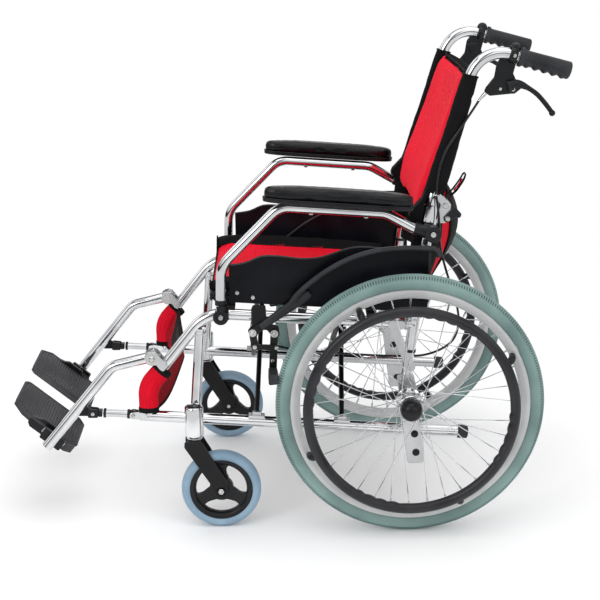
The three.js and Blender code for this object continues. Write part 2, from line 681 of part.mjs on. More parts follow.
pair("handle_grip", handleGrip(), "rubber", FRAME_X, ...GRIP_FROM, GRIP_TILT);
pair("brake_body", brakeBody(), "plastic");
pair("brake_lever", brakeLever(), "plastic");
pair("back_latch", backLatch(), "plastic");
pair("wheel_lock_plate", lockPlate(), "blackSteel");
pair("wheel_lock_handle", lockHandle(), "blackSteel");
pair("wheel_lock_arm", lockArm(), "blackSteel");
pair("wheel_lock_link", lockLink(), "blackSteel");
pair("leg_tube", legTube(), "aluminium");
pair("footplate", footplate(), "greyPlastic", FRAME_X, ...FOOT_HINGE, FOOT_TILT);
pair("strut_sleeve", strutSleeve(), "aluminium", FRAME_X, ...STRUT_PIVOT, STRUT_TILT);
pair("strut_rod", strutRod(), "plastic", FRAME_X, ...STRUT_PIVOT, STRUT_TILT);
place("brace_a", brace(1), "blackSteel", 0, 0, RAIL_Z, -RAIL_SLOPE);
place("brace_b", mirrored(brace(-1)), "blackSteel", 0, 0, RAIL_Z, -RAIL_SLOPE);
place("seat", seat(), "redMesh");
place("back_lower", backLower(), "redMesh");
place("back_upper", backUpper(), "redMesh");
place("calf_strap", calfStrap(), "redMesh");

const assembly = new THREE.Group();
assembly.name = "assembly";
assembly.add(chair);

export default assembly;
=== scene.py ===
"""A folding manual wheelchair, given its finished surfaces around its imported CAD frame.

Shapes are written in millimetres with y measured from the rear axle, and become metres in the row
frame when a piece is made. The front of the chair is towards -Y and its left side is at +X. Each side
is drawn once, for the left.
"""

import math

import bmesh
import bpy
from mathutils import Matrix, Vector, noise


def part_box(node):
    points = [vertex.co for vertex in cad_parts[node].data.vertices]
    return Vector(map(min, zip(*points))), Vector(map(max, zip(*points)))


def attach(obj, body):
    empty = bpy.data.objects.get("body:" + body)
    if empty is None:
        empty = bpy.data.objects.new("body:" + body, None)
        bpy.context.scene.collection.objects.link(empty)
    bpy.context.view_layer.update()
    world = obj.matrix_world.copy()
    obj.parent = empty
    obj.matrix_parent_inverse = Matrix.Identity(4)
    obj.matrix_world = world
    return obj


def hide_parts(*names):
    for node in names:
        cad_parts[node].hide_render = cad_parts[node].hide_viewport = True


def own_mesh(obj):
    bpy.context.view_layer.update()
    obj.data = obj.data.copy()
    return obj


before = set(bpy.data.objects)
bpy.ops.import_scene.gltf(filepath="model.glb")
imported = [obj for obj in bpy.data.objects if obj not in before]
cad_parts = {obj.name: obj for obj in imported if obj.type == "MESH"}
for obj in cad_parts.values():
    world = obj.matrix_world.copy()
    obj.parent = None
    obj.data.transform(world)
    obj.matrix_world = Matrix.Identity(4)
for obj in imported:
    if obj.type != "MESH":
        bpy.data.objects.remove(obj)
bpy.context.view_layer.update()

MM = 0.001
RAD = math.pi / 180
TURN = 2 * math.pi


def centre(node):
    low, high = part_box(node)
    return (low + high) / 2 / MM


# ---- driving dimensions, from the frame where it gives them ----
AXLE_Y = centre("left_wheel_tyre").y
WHEEL_X = centre("left_wheel_tyre").x
WHEEL_R = centre("left_wheel_tyre").z
FRAME_X = centre("left_handle_grip").x
CASTER_X = centre("left_caster_tyre").x
CASTER_R = centre("left_caster_tyre").z
CASTER_Y = centre("left_caster_tyre").y - AXLE_Y
STEM_Y = CASTER_Y - 50
SEAT_X = 198
TUBE = 11
TYRE_R = 16.5
SLOPE = 4.12 * RAD
ARM_X = CASTER_X
ARM_OUT = ARM_X - FRAME_X
ARM_PIVOT = (44, 590)
BACK_PIVOT = (70, 640)
LEG_PIVOT = (-499, 345)
LEG_END = (-715, 162)
STRUT_PIVOT = (-541, 227)
STRUT_END = (-620, 232)
FOOT_TILT = -39.65 * RAD
GRIP_FROM = (206, 917)
GRIP_TILT = -16.26 * RAD
GRIP_LENGTH = 98
BRAKE_PIVOT = (193, 858)
LOCK_PIVOT = (-302, 398)
SHOE_PIVOT = (-260, 396)


RAIL_Z = 186.6  # height of the lower rail at the rear axle
UPPER_RISE, SEAT_RISE = 217.4, 247.2  # upper rail and seat rail above the lower rail
FOLD_RISE = SEAT_RISE * math.cos(SLOPE)


def lower_rail(y):
    return RAIL_Z - y * math.tan(SLOPE)


def upper_rail(y):
    return lower_rail(y) + UPPER_RISE


def seat_rail(y):
    return lower_rail(y) + SEAT_RISE


def post_y(z):
    return -4 + (z - 288) * 27 / 198


# ---- shapes: a list of points and a list of faces ----


def place(x=0.0, y=0.0, z=0.0, tilt=0.0):
    return Matrix.Translation((x, y, z)) @ Matrix.Rotation(tilt, 4, "X")


def moved(shape, matrix):
    return [matrix @ v for v in shape[0]], shape[1]


def mirrored(shape):
    return [Vector((-v.x, v.y, v.z)) for v in shape[0]], shape[1]


def join(*shapes):
    verts, faces = [], []
    for points, polygons in shapes:
        base = len(verts)
        verts += points
        faces += [[base + i for i in face] for face in polygons]
    return verts, faces


def skin(rows, looped=False, caps=True):
    """Faces between rows of points, each row closed on itself."""
    sides = len(rows[0])
    verts = [Vector(v) for row in rows for v in row]
    last = len(rows) - 1
    faces = []
    for i in range(len(rows) if looped else last):
        j = (i + 1) % len(rows)
        for k in range(sides):
            m = (k + 1) % sides
            faces.append([i * sides + k, i * sides + m, j * sides + m, j * sides + k])
    if caps and not looped:
        faces.append(list(range(sides)))
        faces.append([last * sides + k for k in range(sides)])
    return verts, faces


def flat(points, x=0.0):
    """(y, z) points as points in the plane at x."""
    return [Vector((x, y, z)) for y, z in points]


def rounded(points, radii, step=9 * RAD):
    """A path with each inner corner turned into an arc."""
    points = [Vector(p) for p in points]
    out = [points[0]]
    for i in range(1, len(points) - 1):
        radius = radii[i - 1] if isinstance(radii, (list, tuple)) else radii
        into = (points[i] - points[i - 1]).normalized()
        away = (points[i + 1] - points[i]).normalized()
        turn = into.angle(away, 0.0)
        if turn < 1e-4 or radius <= 0:
            out.append(points[i])
            continue
        start = points[i] - into * radius * math.tan(turn / 2)
        inward = (away - into * into.dot(away)).normalized()
        middle = start + inward * radius
        count = max(2, math.ceil(turn / step))
        for k in range(count + 1):
            at = turn * k / count
            out.append(middle - inward * radius * math.cos(at) + into * radius * math.sin(at))
    out.append(points[-1])
    return out


def curve(points, per=6):
    """A smooth curve through the points."""
    points = [Vector(p) for p in points]
    ends = [points[0] * 2 - points[1]] + points + [points[-1] * 2 - points[-2]]
    out = []
    for a, b, c, d in zip(ends, ends[1:], ends[2:], ends[3:]):
        for k in range(per):
            t = k / per
            cubic = (3 * b - 3 * c + d - a) * t ** 3
            out.append((b * 2 + (c - a) * t + (2 * a - 5 * b + 4 * c - d) * t ** 2 + cubic) / 2)
    out.append(points[-1])
    return out


def loop_of(points, radius):
    """A closed outline with rounded corners."""
    start = (Vector(points[0]) + Vector(points[-1])) / 2
    return rounded([start, *points, start], radius, 15 * RAD)[:-1]


def circle(radius, sides=20, flatten=1.0):
    turns = [TURN * (k + 0.5) / sides for k in range(sides)]
    return [(radius * math.cos(t), radius * flatten * math.sin(t)) for t in turns]


def sweep(path, section, sizes=None, looped=False, caps=True):
    """A section carried along a path. Its first coordinate lies along X where the path allows."""
    points = [Vector(p) for p in path]
    count = len(points)
    rows = []
    normal = None
    for i, point in enumerate(points):
        ahead = points[(i + 1) % count] if looped else points[min(i + 1, count - 1)]
        behind = points[i - 1] if looped else points[max(i - 1, 0)]
        tangent = (ahead - behind).normalized()
        if normal is None:
            normal = Vector((1, 0, 0)) if abs(tangent.x) < 0.9 else Vector((0, 0, 1))
        normal = (normal - tangent * normal.dot(tangent)).normalized()
        side = tangent.cross(normal)
        size = sizes[i] if sizes else 1.0
        rows.append([point + normal * a * size + side * b * size for a, b in section])
    return skin(rows, looped, caps)


def bar(path, radius, sides=20):
    return sweep(path, circle(radius, sides))


def pipe(path, radius, wall=1.6, sides=20):
    """A tube whose open end shows its wall."""
    outer, _ = sweep(path, circle(radius, sides), caps=False)
    inner, _ = sweep(path, circle(radius - wall, sides), caps=False)
    rows = [outer[i:i + sides] for i in range(0, len(outer), sides)]
    back = [inner[i:i + sides] for i in range(0, len(inner), sides)]
    return skin(rows + back[::-1], looped=True)


def lathe(profile, sides=40, axis="X"):
    """(radius, along) points turned about an axis."""
    order = {"X": (0, 1, 2), "Y": (2, 0, 1), "Z": (1, 2, 0)}[axis]
    rows = []
    for k in range(sides):
        turn = TURN * k / sides
        row = [(h, r * math.cos(turn), r * math.sin(turn)) for r, h in profile]
        rows.append([Vector([v[i] for i in order]) for v in row])
    return skin(rows, looped=True, caps=False)


def plate(outline, x0, x1, radius=0.0):
    """A (y, z) outline with rounded corners, thickened along X."""
    points = flat(outline)
    if radius > 0:
        points = loop_of(points, radius)
    return skin([[p + Vector((x, 0, 0)) for p in points] for x in (x0, x1)])


def strap(a, b, half, x0, x1, end_half=None):
    """A flat strap between two (y, z) points with round ends."""
    along = math.atan2(b[1] - a[1], b[0] - a[0])
    outline = []
    for middle, size, turn in ((b, end_half or half, along), (a, half, along + math.pi)):
        for k in range(13):
            at = turn - math.pi / 2 + math.pi * k / 12
            outline.append((middle[0] + size * math.cos(at), middle[1] + size * math.sin(at)))
    return plate(outline, x0, x1)


def pin(at, radius, x0, x1, sides=20):
    return bar([(x0, *at), (x1, *at)], radius, sides)


def block(x0, x1, y0, y1, z0, z1, radius=1.5):
    corners = [(y0, z0), (y1, z0), (y1, z1), (y0, z1)]
    return plate(corners, x0, x1, radius)


def bolt(at, x, radius, height=2.6):
    """A domed screw head with a socket, facing +X."""
    profile = [(0, -0.5), (radius, -0.5), (radius, height * 0.45), (radius * 0.85, height * 0.85),
               (radius * 0.5, height), (radius * 0.42, height), (radius * 0.38, height * 0.3),
               (0, height * 0.3)]
    return moved(lathe(profile, 18), place(x, *at))


def hex_nut(at, x, radius, height=4.0):
    nut = sweep([(0, 0, 0), (height * 0.75, 0, 0), (height, 0, 0)], circle(radius, 6), [1, 1, 0.86])
    washer = lathe([(0, -1), (radius * 1.25, -1), (radius * 1.25, 0), (0, 0)], 24)
    stud = lathe([(0, 0), (radius * 0.5, 0), (radius * 0.5, height + 1), (radius * 0.3, height + 2),
                  (0, height + 2)], 16)
    return moved(join(nut, washer, stud), place(x, *at))


def bead(middle, along, radius, thick=1.8):
    """A weld bead round a tube's joint."""
    along = Vector(along).normalized()
    first = along.orthogonal().normalized()
    second = along.cross(first)
    ring = []
    for k in range(36):
        turn = TURN * k / 36
        ripple = 0.35 * math.sin(turn * 18)
        ring.append(Vector(middle) + (first * math.cos(turn) + second * math.sin(turn)) * (radius + ripple))
    return sweep(ring, circle(thick, 8), looped=True)


# ---- materials ----


def paint(r, g, b):
    def linear(value):
        value /= 255
        return value / 12.92 if value <= 0.04045 else ((value + 0.055) / 1.055) ** 2.4

    return (linear(r), linear(g), linear(b), 1.0)


def finish(name, dark, light, roughness, metal=0.0, patch=14.0, grain=700.0, depth=0.03, ribs=(),
           sheen=0.0, worn=None, streaks=None, coat=0.0, shine=0.22):
    """A surface of two mixed colours, patchy roughness, fine grain, and optional ribs and worn edges.

    Ribs are (direction, pitch in mm, depth in mm, how much painted shade darkens the grooves).
    """
    material = bpy.data.materials.new(name)
    material.use_nodes = True
    nodes = material.node_tree.nodes
    links = material.node_tree.links
    shader = nodes["Principled BSDF"]
    position = nodes.new("ShaderNodeTexCoord").outputs["Object"]

    def feed(socket, value):
        if hasattr(value, "links"):
            links.new(value, socket)
        else:
            socket.default_value = value

    def calc(operation, a, b=0.0):
        made = nodes.new("ShaderNodeMath")
        made.operation = operation
        feed(made.inputs[0], a)
        feed(made.inputs[1], b)
        return made.outputs[0]

    def mix(share, a, b):
        made = nodes.new("ShaderNodeMix")
        made.data_type = "RGBA"
        feed(made.inputs["Factor"], share)
        feed(made.inputs["A"], a)
        feed(made.inputs["B"], b)
        return made.outputs["Result"]

    def blotch(scale, detail=3.0, stretch=None):
        vector = position
        if stretch:
            mapping = nodes.new("ShaderNodeMapping")
            mapping.inputs["Scale"].default_value = stretch
            links.new(position, mapping.inputs["Vector"])
            vector = mapping.outputs["Vector"]
        made = nodes.new("ShaderNodeTexNoise")
        made.inputs["Scale"].default_value = scale
        made.inputs["Detail"].default_value = detail
        links.new(vector, made.inputs["Vector"])
        return made.outputs["Fac"]

    spread = nodes.new("ShaderNodeMapRange")
    spread.inputs["From Min"].default_value = 0.35
    spread.inputs["From Max"].default_value = 0.65
    links.new(blotch(patch, 5.0), spread.inputs["Value"])
    patches = spread.outputs["Result"]
    colour = mix(patches, dark, light)
    height = calc("MULTIPLY", blotch(grain, 2.0, streaks), depth)
    for direction, pitch, rib_depth, painted_groove_shade in ribs:
        dot = nodes.new("ShaderNodeVectorMath")
        dot.operation = "DOT_PRODUCT"
        links.new(position, dot.inputs[0])
        dot.inputs[1].default_value = Vector(direction).normalized()
        wave = calc("SINE", calc("MULTIPLY", dot.outputs["Value"], TURN / (pitch * MM)))
        share = calc("MULTIPLY", calc("ADD", calc("MULTIPLY", wave, -0.5), 0.5), painted_groove_shade)
        # Painted shade: in each rib groove the colour darkens towards a third of the dark tone.
        colour = mix(share, colour, tuple(0.35 * c for c in dark[:3]) + (1.0,))
        height = calc("ADD", height, calc("MULTIPLY", wave, rib_depth / 2))
    if worn:
        bevel = nodes.new("ShaderNodeBevel")
        bevel.samples = 3
        bevel.inputs["Radius"].default_value = 1.2 * MM
        facing = nodes.new("ShaderNodeVectorMath")
        facing.operation = "DOT_PRODUCT"
        links.new(bevel.outputs["Normal"], facing.inputs[0])
        links.new(nodes.new("ShaderNodeNewGeometry").outputs["Normal"], facing.inputs[1])
        edge = calc("MULTIPLY", calc("SUBTRACT", 0.97, facing.outputs["Value"]), 5.0)
        edge = calc("MULTIPLY", calc("MINIMUM", calc("MAXIMUM", edge, 0.0), 1.0), patches)
        colour = mix(edge, colour, worn)
    bump = nodes.new("ShaderNodeBump")
    bump.inputs["Distance"].default_value = MM
    bump.inputs["Strength"].default_value = 1.0
    links.new(height, bump.inputs["Height"])
    links.new(bump.outputs["Normal"], shader.inputs["Normal"])
    feed(shader.inputs["Base Color"], colour)
    low, high = roughness
    feed(shader.inputs["Roughness"], calc("ADD", calc("MULTIPLY", patches, high - low), low))
    shader.inputs["Metallic"].default_value = metal
    shader.inputs["Specular IOR Level"].default_value = shine
    shader.inputs["Sheen Weight"].default_value = sheen
    shader.inputs["Sheen Roughness"].default_value = 0.4
    shader.inputs["Coat Weight"].default_value = coat
    shader.inputs["Coat Roughness"].default_value = 0.15
    return material


UP = (0, 0, 1)
ACROSS = (1, 0, 0)
BACK_UP = (0, 0.28, 0.96)
FINE_THREAD = (ACROSS, 1.7, 0.08, 0.25)
EDGE_GREY = paint(120, 122, 126)


# The last argument scales the whole red down: painted shade, giving darker copies of the one red mesh for
# parts that lie in shade.
def red_fabric(name, direction, pitch=4.6, painted_light_level=1.0):
    dark = tuple(c * painted_light_level for c in paint(232, 16, 42)[:3]) + (1.0,)
    light = tuple(c * painted_light_level for c in paint(250, 30, 56)[:3]) + (1.0,)
    return finish(name, dark, light, (0.75, 0.92), patch=6, grain=1500, depth=0.06, sheen=0.03, shine=0.06,
                  ribs=[(direction, pitch, 0.34, 0.34), FINE_THREAD])


def black_fabric(name, direction, pitch=5.0):
    return finish(name, paint(14, 14, 16), paint(27, 27, 29), (0.65, 0.9), patch=9, grain=1500, depth=0.06,
                  sheen=0.03, shine=0.1, ribs=[(direction, pitch, 0.5, 0.6), FINE_THREAD])


MATERIALS = {
    "chrome": finish("chrome", paint(206, 207, 209), paint(232, 233, 234), (0.05, 0.12), 1.0, grain=260,
                     depth=0.004, streaks=(1, 0.1, 1)),
    "satin": finish("satin_aluminium", paint(196, 198, 200), paint(222, 223, 224), (0.3, 0.44), 1.0,
                    grain=900,
                    depth=0.012, streaks=(1, 1, 0.08)),
    "cast": finish("cast_aluminium", paint(188, 190, 192), paint(220, 221, 222), (0.18, 0.38), 1.0, grain=420,
                   depth=0.05),
    "zinc": finish("zinc_steel", paint(180, 181, 180), paint(222, 222, 219), (0.14, 0.3), 1.0, grain=500,
                   depth=0.02),
    "spoke": finish("spoke_steel", paint(196, 198, 200), paint(228, 229, 230), (0.15, 0.28), 1.0, grain=800,
                    depth=0.01),
    "rim": finish("rim_paint", paint(184, 185, 186), paint(202, 203, 203), (0.35, 0.5), 0.2, grain=900,
                  depth=0.012, shine=0.4),
    "powder": finish("black_powder_coat", paint(14, 14, 16), paint(26, 26, 28), (0.3, 0.46), grain=1300,
                     depth=0.05, worn=EDGE_GREY),
    "plastic": finish("black_plastic", paint(13, 14, 16), paint(25, 26, 29), (0.24, 0.4), grain=1000,
                      depth=0.05, worn=paint(86, 88, 92), shine=0.3),
    "panel": finish("panel_plastic", paint(9, 10, 14), paint(19, 20, 26), (0.26, 0.4), grain=800, depth=0.05,
                    shine=0.14),
    # Lighter than the panel plastic of the same guard: a painted highlight along the glossy fender lip.
    "fender": finish("fender_plastic_painted_highlight", paint(24, 25, 29), paint(42, 44, 49), (0.22, 0.32), grain=800,
                     depth=0.05,
                     coat=0.12, shine=0.4),
    "handrim": finish("handrim_plastic", paint(22, 22, 26), paint(38, 38, 43), (0.26, 0.42), grain=1100,
                      depth=0.06, shine=0.4),
    "tread": finish("footplate_plastic", paint(46, 46, 49), paint(72, 72, 75), (0.4, 0.58), grain=1000,
                    depth=0.07, worn=paint(130, 130, 134)),
    "grip": finish("grip_rubber", paint(38, 39, 42), paint(58, 59, 63), (0.42, 0.6), grain=1200, depth=0.07),
    "tyre": finish("grey_tyre", paint(106, 130, 127), paint(134, 159, 155), (0.6, 0.78), patch=8, grain=1200,
                   depth=0.06, shine=0.15),
    # The tyre colour darkened: painted shade for the grooves between the ribs.
    "tyre_groove_painted_shade": finish("tyre_groove_painted_shade", paint(74, 92, 90), paint(98, 116, 114), (0.7, 0.9), grain=1200,
                          depth=0.06, shine=0.1),
    "caster_tyre": finish("blue_grey_tyre", paint(112, 138, 158), paint(143, 168, 187), (0.4, 0.55), patch=9,
                          grain=1200, depth=0.05, shine=0.25),
    "vinyl": finish("arm_vinyl", paint(9, 10, 12), paint(18, 19, 22), (0.2, 0.34), grain=420, depth=0.16,
                    coat=0.06, shine=0.26),
    # The back's red is at full brightness; the lower back, seat, calf sleeve and calf strap meshes are darker
    # copies of it, painted shade.
    "red_back": red_fabric("red_back_mesh", BACK_UP),
    "red_lower": red_fabric("red_lower_mesh", UP, painted_light_level=0.8),
    "red_seat": red_fabric("red_seat_mesh", (0, 1, 0.07), painted_light_level=0.92),
    "red_painted_shade": red_fabric("red_mesh_painted_shade", (0, 0.3, 0.95), 3.4, painted_light_level=0.42),
    "red_calf": red_fabric("red_calf_mesh", (0, 0.3, 0.95), 3.4, painted_light_level=0.88),
    "black_sleeve": black_fabric("black_sleeve_mesh", (0, 0.72, 0.7)),
    "black_seat": black_fabric("black_seat_mesh", (0, 1, 0.07)),
    "binding": finish("black_binding", paint(11, 11, 12), paint(24, 24, 26), (0.6, 0.8), grain=1500,
                      depth=0.06,
                      shine=0.12, ribs=[((1, 1, 1), 1.6, 0.16, 0.5)]),
    "webbing": finish("black_webbing", paint(11, 11, 13), paint(26, 26, 28), (0.55, 0.75), grain=1500,
                      depth=0.05, shine=0.15, ribs=[((0.2, 1, 1), 2.2, 0.25, 0.55)]),
    "cable": finish("cable_sheath", paint(10, 10, 11), paint(22, 22, 24), (0.2, 0.34), grain=900, depth=0.03,
                    shine=0.4),
    "thread": finish("red_piping", paint(196, 14, 36), paint(228, 24, 48), (0.6, 0.75), grain=1500,
                     depth=0.05,
                     shine=0.06, ribs=[(UP, 1.5, 0.12, 0.35)]),
    "piping": finish("grey_piping", paint(40, 41, 44), paint(66, 67, 70), (0.4, 0.55), grain=1200,
                     depth=0.04),
}


# ---- making pieces ----


def mesh_of(name, shape):
    verts, faces = shape
    mesh = bpy.data.meshes.new(name)
    mesh.from_pydata([(v.x * MM, (v.y + AXLE_Y) * MM, v.z * MM) for v in verts], [], faces)
    work = bmesh.new()
    work.from_mesh(mesh)
    bmesh.ops.remove_doubles(work, verts=work.verts, dist=0.002 * MM)
    bmesh.ops.dissolve_degenerate(work, dist=0.001 * MM, edges=work.edges)
    loose = [edge for edge in work.edges if not edge.link_faces]
    bmesh.ops.delete(work, geom=loose, context="EDGES")
    bmesh.ops.recalc_face_normals(work, faces=work.faces)
    work.to_mesh(mesh)
    work.free()
    return mesh


def piece(name, shape, finish_name, body, replaces=(), bevel=0.0, levels=0, thick=0.0, sharp=36):
    """One visible piece, riding a body. The shape may already be a mesh."""
    mesh = shape if isinstance(shape, bpy.types.Mesh) else mesh_of(name, shape)
    mesh.shade_smooth()
    if not levels:
        mesh.set_sharp_from_angle(angle=sharp * RAD)
    mesh.materials.append(MATERIALS[finish_name])
    made = bpy.data.objects.new(name, mesh)
    bpy.context.scene.collection.objects.link(made)
    if thick:
        solid = made.modifiers.new("cloth_thickness", "SOLIDIFY")
        solid.thickness = thick * MM
        solid.offset = 0
    if bevel:
        edges = made.modifiers.new("edges", "BEVEL")
        edges.width = bevel * MM
        edges.segments = 2
        edges.limit_method = "ANGLE"
        edges.angle_limit = 35 * RAD
        edges.harden_normals = True
    if levels:
        smooth = made.modifiers.new("surface", "SUBSURF")
        smooth.levels = levels
        smooth.render_levels = levels
    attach(made, body)
    if replaces:
        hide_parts(*replaces)
    return made


SIDE = place(FRAME_X)


def pair(name, shape, finish_name, body, replaces=(), at=SIDE, **settings):
    """The same piece on the left and, mirrored, on the right."""
    left = moved(shape, at)
    made = []
    for side, turned in (("left", left), ("right", mirrored(left))):
        nodes = [f"{side}_{node}" for node in replaces]
        made.append(piece(f"{side}_{name}", turned, finish_name, f"{side}_{body}", nodes, **settings))
    return made


# ---- side frame ----


def side_frame():
    upper = rounded(
        flat([(13, upper_rail(13)), (-392, upper_rail(-392)), (-510, 285), (-510, lower_rail(-510))]),
                    [70, 60])
    pair("upper_tube", bar(upper, TUBE, 24), "chrome", "frame", ["side_frame"])
    lower = pipe(flat([(-528, lower_rail(-528)), (104, lower_rail(104))]), TUBE, 1.6, 24)
    pair("lower_rail", lower, "chrome", "frame")
    front = sweep(flat([(-404, 402), (-405.5, 382), (-419, 222), (-421, 208), (-421, 200)]),
                  circle(TUBE, 24), [1, 0.93, 0.93, 1.12, 1.2])
    pair("front_post", front, "chrome", "frame")
    rear = bar(flat([(post_y(275), 275), (post_y(634), 634)]), TUBE, 24)
    pair("rear_post", rear, "chrome", "frame")
    joints = join(
        bead((0, -510, lower_rail(-510) + 11), (0, 0, 1), TUBE + 0.6),
        bead((0, -405, 393), (0, -0.08, 1), TUBE + 0.4),
        bead((0, post_y(404) - 1, 414), (0, 0.13, 1), TUBE + 0.4),
        bead((0, -4, upper_rail(0)), (0, 1, 0), TUBE + 0.4),
    )
    pair("weld_beads", joints, "cast", "frame")
    half = 17
    outline = [(-5 - half, 305), (-5 + half, 305), (17 + half, 119), (17 - half, 119)]
    pair("axle_plate", plate(outline, 9.5, 16, 6), "satin", "frame", bevel=0.8)
    plug = lathe([(0, -7.6), (6, -7.6), (7.4, -6.8), (7.4, 1.2), (6, 2.2), (0, 2.4)], 20)
    plugs = join(*[moved(plug, place(16, y, z)) for y, z in ((9, 220), (14, 181), (17, 142))])
    pair("axle_plate_plugs", plugs, "plastic", "frame")
    heads = join(*[bolt((y, z), 16, 5) for y, z in ((-12, 297), (4, 297), (9, 240))])
    pair("axle_plate_bolts", heads, "zinc", "frame")
    axle = join(pin((0, WHEEL_R), 6, 15, 96), pin((0, WHEEL_R), 11, 15, 29, 24))
    pair("axle", axle, "zinc", "frame", bevel=0.6)
    tab = join(strap((-30, 404), (6, 318), 9, 8, 11), strap((-30, 404), (-14, 404), 9, 8, 12))
    pair("axle_stay", tab, "satin", "frame", bevel=0.6)


def caster_housing():
    x = CASTER_X - FRAME_X
    profile = [(8, 0), (16.5, 0), (18, 2), (18.5, 5), (18.5, 58), (17.6, 61), (16.4, 62), (14.6, 61),
               (14, 57),
               (8, 56), (8, 0)]
    pair("caster_housing", moved(lathe(profile, 40, "Z"), place(x, STEM_Y, 189)), "chrome", "frame")
    cap = lathe([(0, 0), (13.6, 0), (13.6, 2), (9, 4.5), (0, 5.2)], 28, "Z")
    pair("housing_cap", moved(cap, place(x, STEM_Y, 245.4)), "plastic", "frame")
    web = block(6, x - 12, STEM_Y - 8, STEM_Y + 8, 200, 236, 3)
    pair("housing_web", web, "cast", "frame", bevel=1.2)


def cradles():
    for number, y in enumerate((-345, -70)):
        low, high = seat_rail(y) - TUBE - 1.2, upper_rail(y) + TUBE - 2
        shelf = plate([(y - 10, high), (y + 10, high), (y + 10, low), (y - 10, low)], -38, 3, 3)
        lip = plate([(y - 10, high), (y + 10, high), (y + 10, seat_rail(y) + 3), (y - 10, seat_rail(y) + 3)],
                    -13.5, -8.5, 2)
        pair(f"seat_cradle_{number + 1}", join(shelf, lip), "plastic", "frame", bevel=1.0)


def leg_lugs():
    y, z = LEG_PIVOT
    arc = [(y + 15.5 * math.cos(a * RAD), z + 15.5 * math.sin(a * RAD)) for a in range(60, 301, 60)]
    outline = arc + [(y + 15, z - 23), (y + 21, z - 27), (y + 31, z - 15), (y + 17, z + 1)]
    parts = join(plate(outline, 9.9, 15.5, 2.5), plate(outline, -15.5, -9.9, 2.5))
    pair("leg_hinge_lugs", parts, "cast", "frame", bevel=1.2)
    washer = moved(lathe([(0, 15.4), (9.5, 15.4), (9.5, 16.6), (0, 16.6)], 28), place(0, y, z))
    dome = moved(lathe([(0, 0), (6.4, 0), (6, 2.4), (4, 4.4), (0, 5)], 24), place(16.4, y, z))
    pair("leg_hinge_bolt", join(washer, dome, pin(LEG_PIVOT, 4, -15, 15)), "zinc", "frame")
    root = (-520, STRUT_PIVOT[1] - 1)
    cheeks = join(strap(STRUT_PIVOT, root, 7, 7.2, 12), strap(STRUT_PIVOT, root, 7, -12, -7.2))
    pair("strut_cheeks", cheeks, "chrome", "frame", bevel=1.0)
    pair("strut_pin", join(pin(STRUT_PIVOT, 3, -11, 11), bolt(STRUT_PIVOT, 12, 4.6)), "zinc", "frame")


def back_tongue():
    outline = [(44, 604), (44, 628), (58, 630), (62, 646), (74, 649), (81, 640), (79, 614), (70, 604)]
    pair("back_tongue", plate(outline, -6, 6, 3), "cast", "frame", bevel=1.2)
    ring = moved(lathe([(TUBE + 0.2, -12), (13.5, -12), (14.5, -9), (14.5, 9), (13.5, 12), (TUBE + 0.2, 12)],
                       32, "Z"),
                 place(0, post_y(612), 612, -7.8 * RAD))
    pair("post_collar", ring, "cast", "frame")
    cone = sweep(flat([(post_y(606), 606), (post_y(608), 608), (post_y(632), 632), (post_y(638), 639.4)]),
                 circle(16.6, 32), [0.9, 1, 0.96, 0.92])
    pair("hinge_cone_foot", cone, "chrome", "frame")
    pair("latch_rivet", join(pin((74, 614), 3, 5, 11.5), bolt((74, 614), 11.2, 5)), "zinc", "frame")


def tip_caps():
    profile = [(0, 1), (TUBE - 1, 1), (TUBE + 1.4, -0.5), (TUBE + 2.4, -3), (TUBE + 2.2, -8),
               (TUBE + 2.6, -9),
               (TUBE + 2.6, -11), (TUBE + 2.2, -12), (TUBE + 2.4, -19), (TUBE + 0.4, -19.5),
               (TUBE + 0.3, -3), (0, -3)]
    end = place(FRAME_X, 120, lower_rail(120), -SLOPE)
    pair("tip_cap", lathe(profile, 32, "Y"), "grip", "frame", ["tip_cap"], at=end)


# ---- wheels ----

WHEEL = place(WHEEL_X, 0, WHEEL_R)
BEAD_ANGLE = 133 * RAD
TREAD = (20 * RAD, 60 * RAD)


def wheel_tyre():
    """Short ribs stand round both shoulders of the tyre, and a bead of rubber beside each."""
    teeth = 300
    rows = []
    for i in range(4 * teeth):
        low = i % 4 >= 2
        turn = TURN * (i + (0.35 if i % 2 else -0.35)) / (4 * teeth)
        row = []
        for k in range(21):
            angle = BEAD_ANGLE * (k - 10) / 10
            size = TYRE_R
            if low and TREAD[0] < abs(angle) < TREAD[1]:
                size -= 1.6
            elif TREAD[1] < abs(angle) < 84 * RAD:
                size += 0.4
            reach = WHEEL_R - TYRE_R + size * math.cos(angle)
            row.append((size * math.sin(angle), reach * math.cos(turn), reach * math.sin(turn)))
        rows.append(row)
    return skin(rows, looped=True)


def shade_grooves(tyre):
    """The grooves between the ribs are darker than the rest of the tyre."""
    # Painted shade: the groove faces take the darker tyre material.
    tyre.data.materials.append(MATERIALS["tyre_groove_painted_shade"])
    hub_x = math.copysign(WHEEL_X, tyre.data.vertices[0].co.x)
    for face in tyre.data.polygons:
        middle = face.center / MM - Vector((hub_x, AXLE_Y, WHEEL_R))
        out = math.hypot(middle.y, middle.z) - (WHEEL_R - TYRE_R)
        angle = math.atan2(abs(middle.x), out)
        if TREAD[0] < angle < TREAD[1] and math.hypot(out, middle.x) < TYRE_R - 0.95:
            face.material_index = 1


def spokes():
    parts = []
    count = 36
    for k in range(count):
        at = TURN * k / count
        start = at + (66 if k % 4 < 2 else -66) * RAD
        x = (-26, 24)[k % 2]
        hub = Vector((x, 22 * math.cos(start), 22 * math.sin(start)))
        rim = Vector((x * 0.1, 213 * math.cos(at), 213 * math.sin(at)))
        parts.append(bar([hub, rim], 0.95, 6))
        parts.append(bar([rim.lerp(hub, 0.06), rim], 1.9, 8))
        parts.append(pin((hub.y, hub.z), 2.4, x - 3.4, x + 3.4, 8))
    return join(*parts)


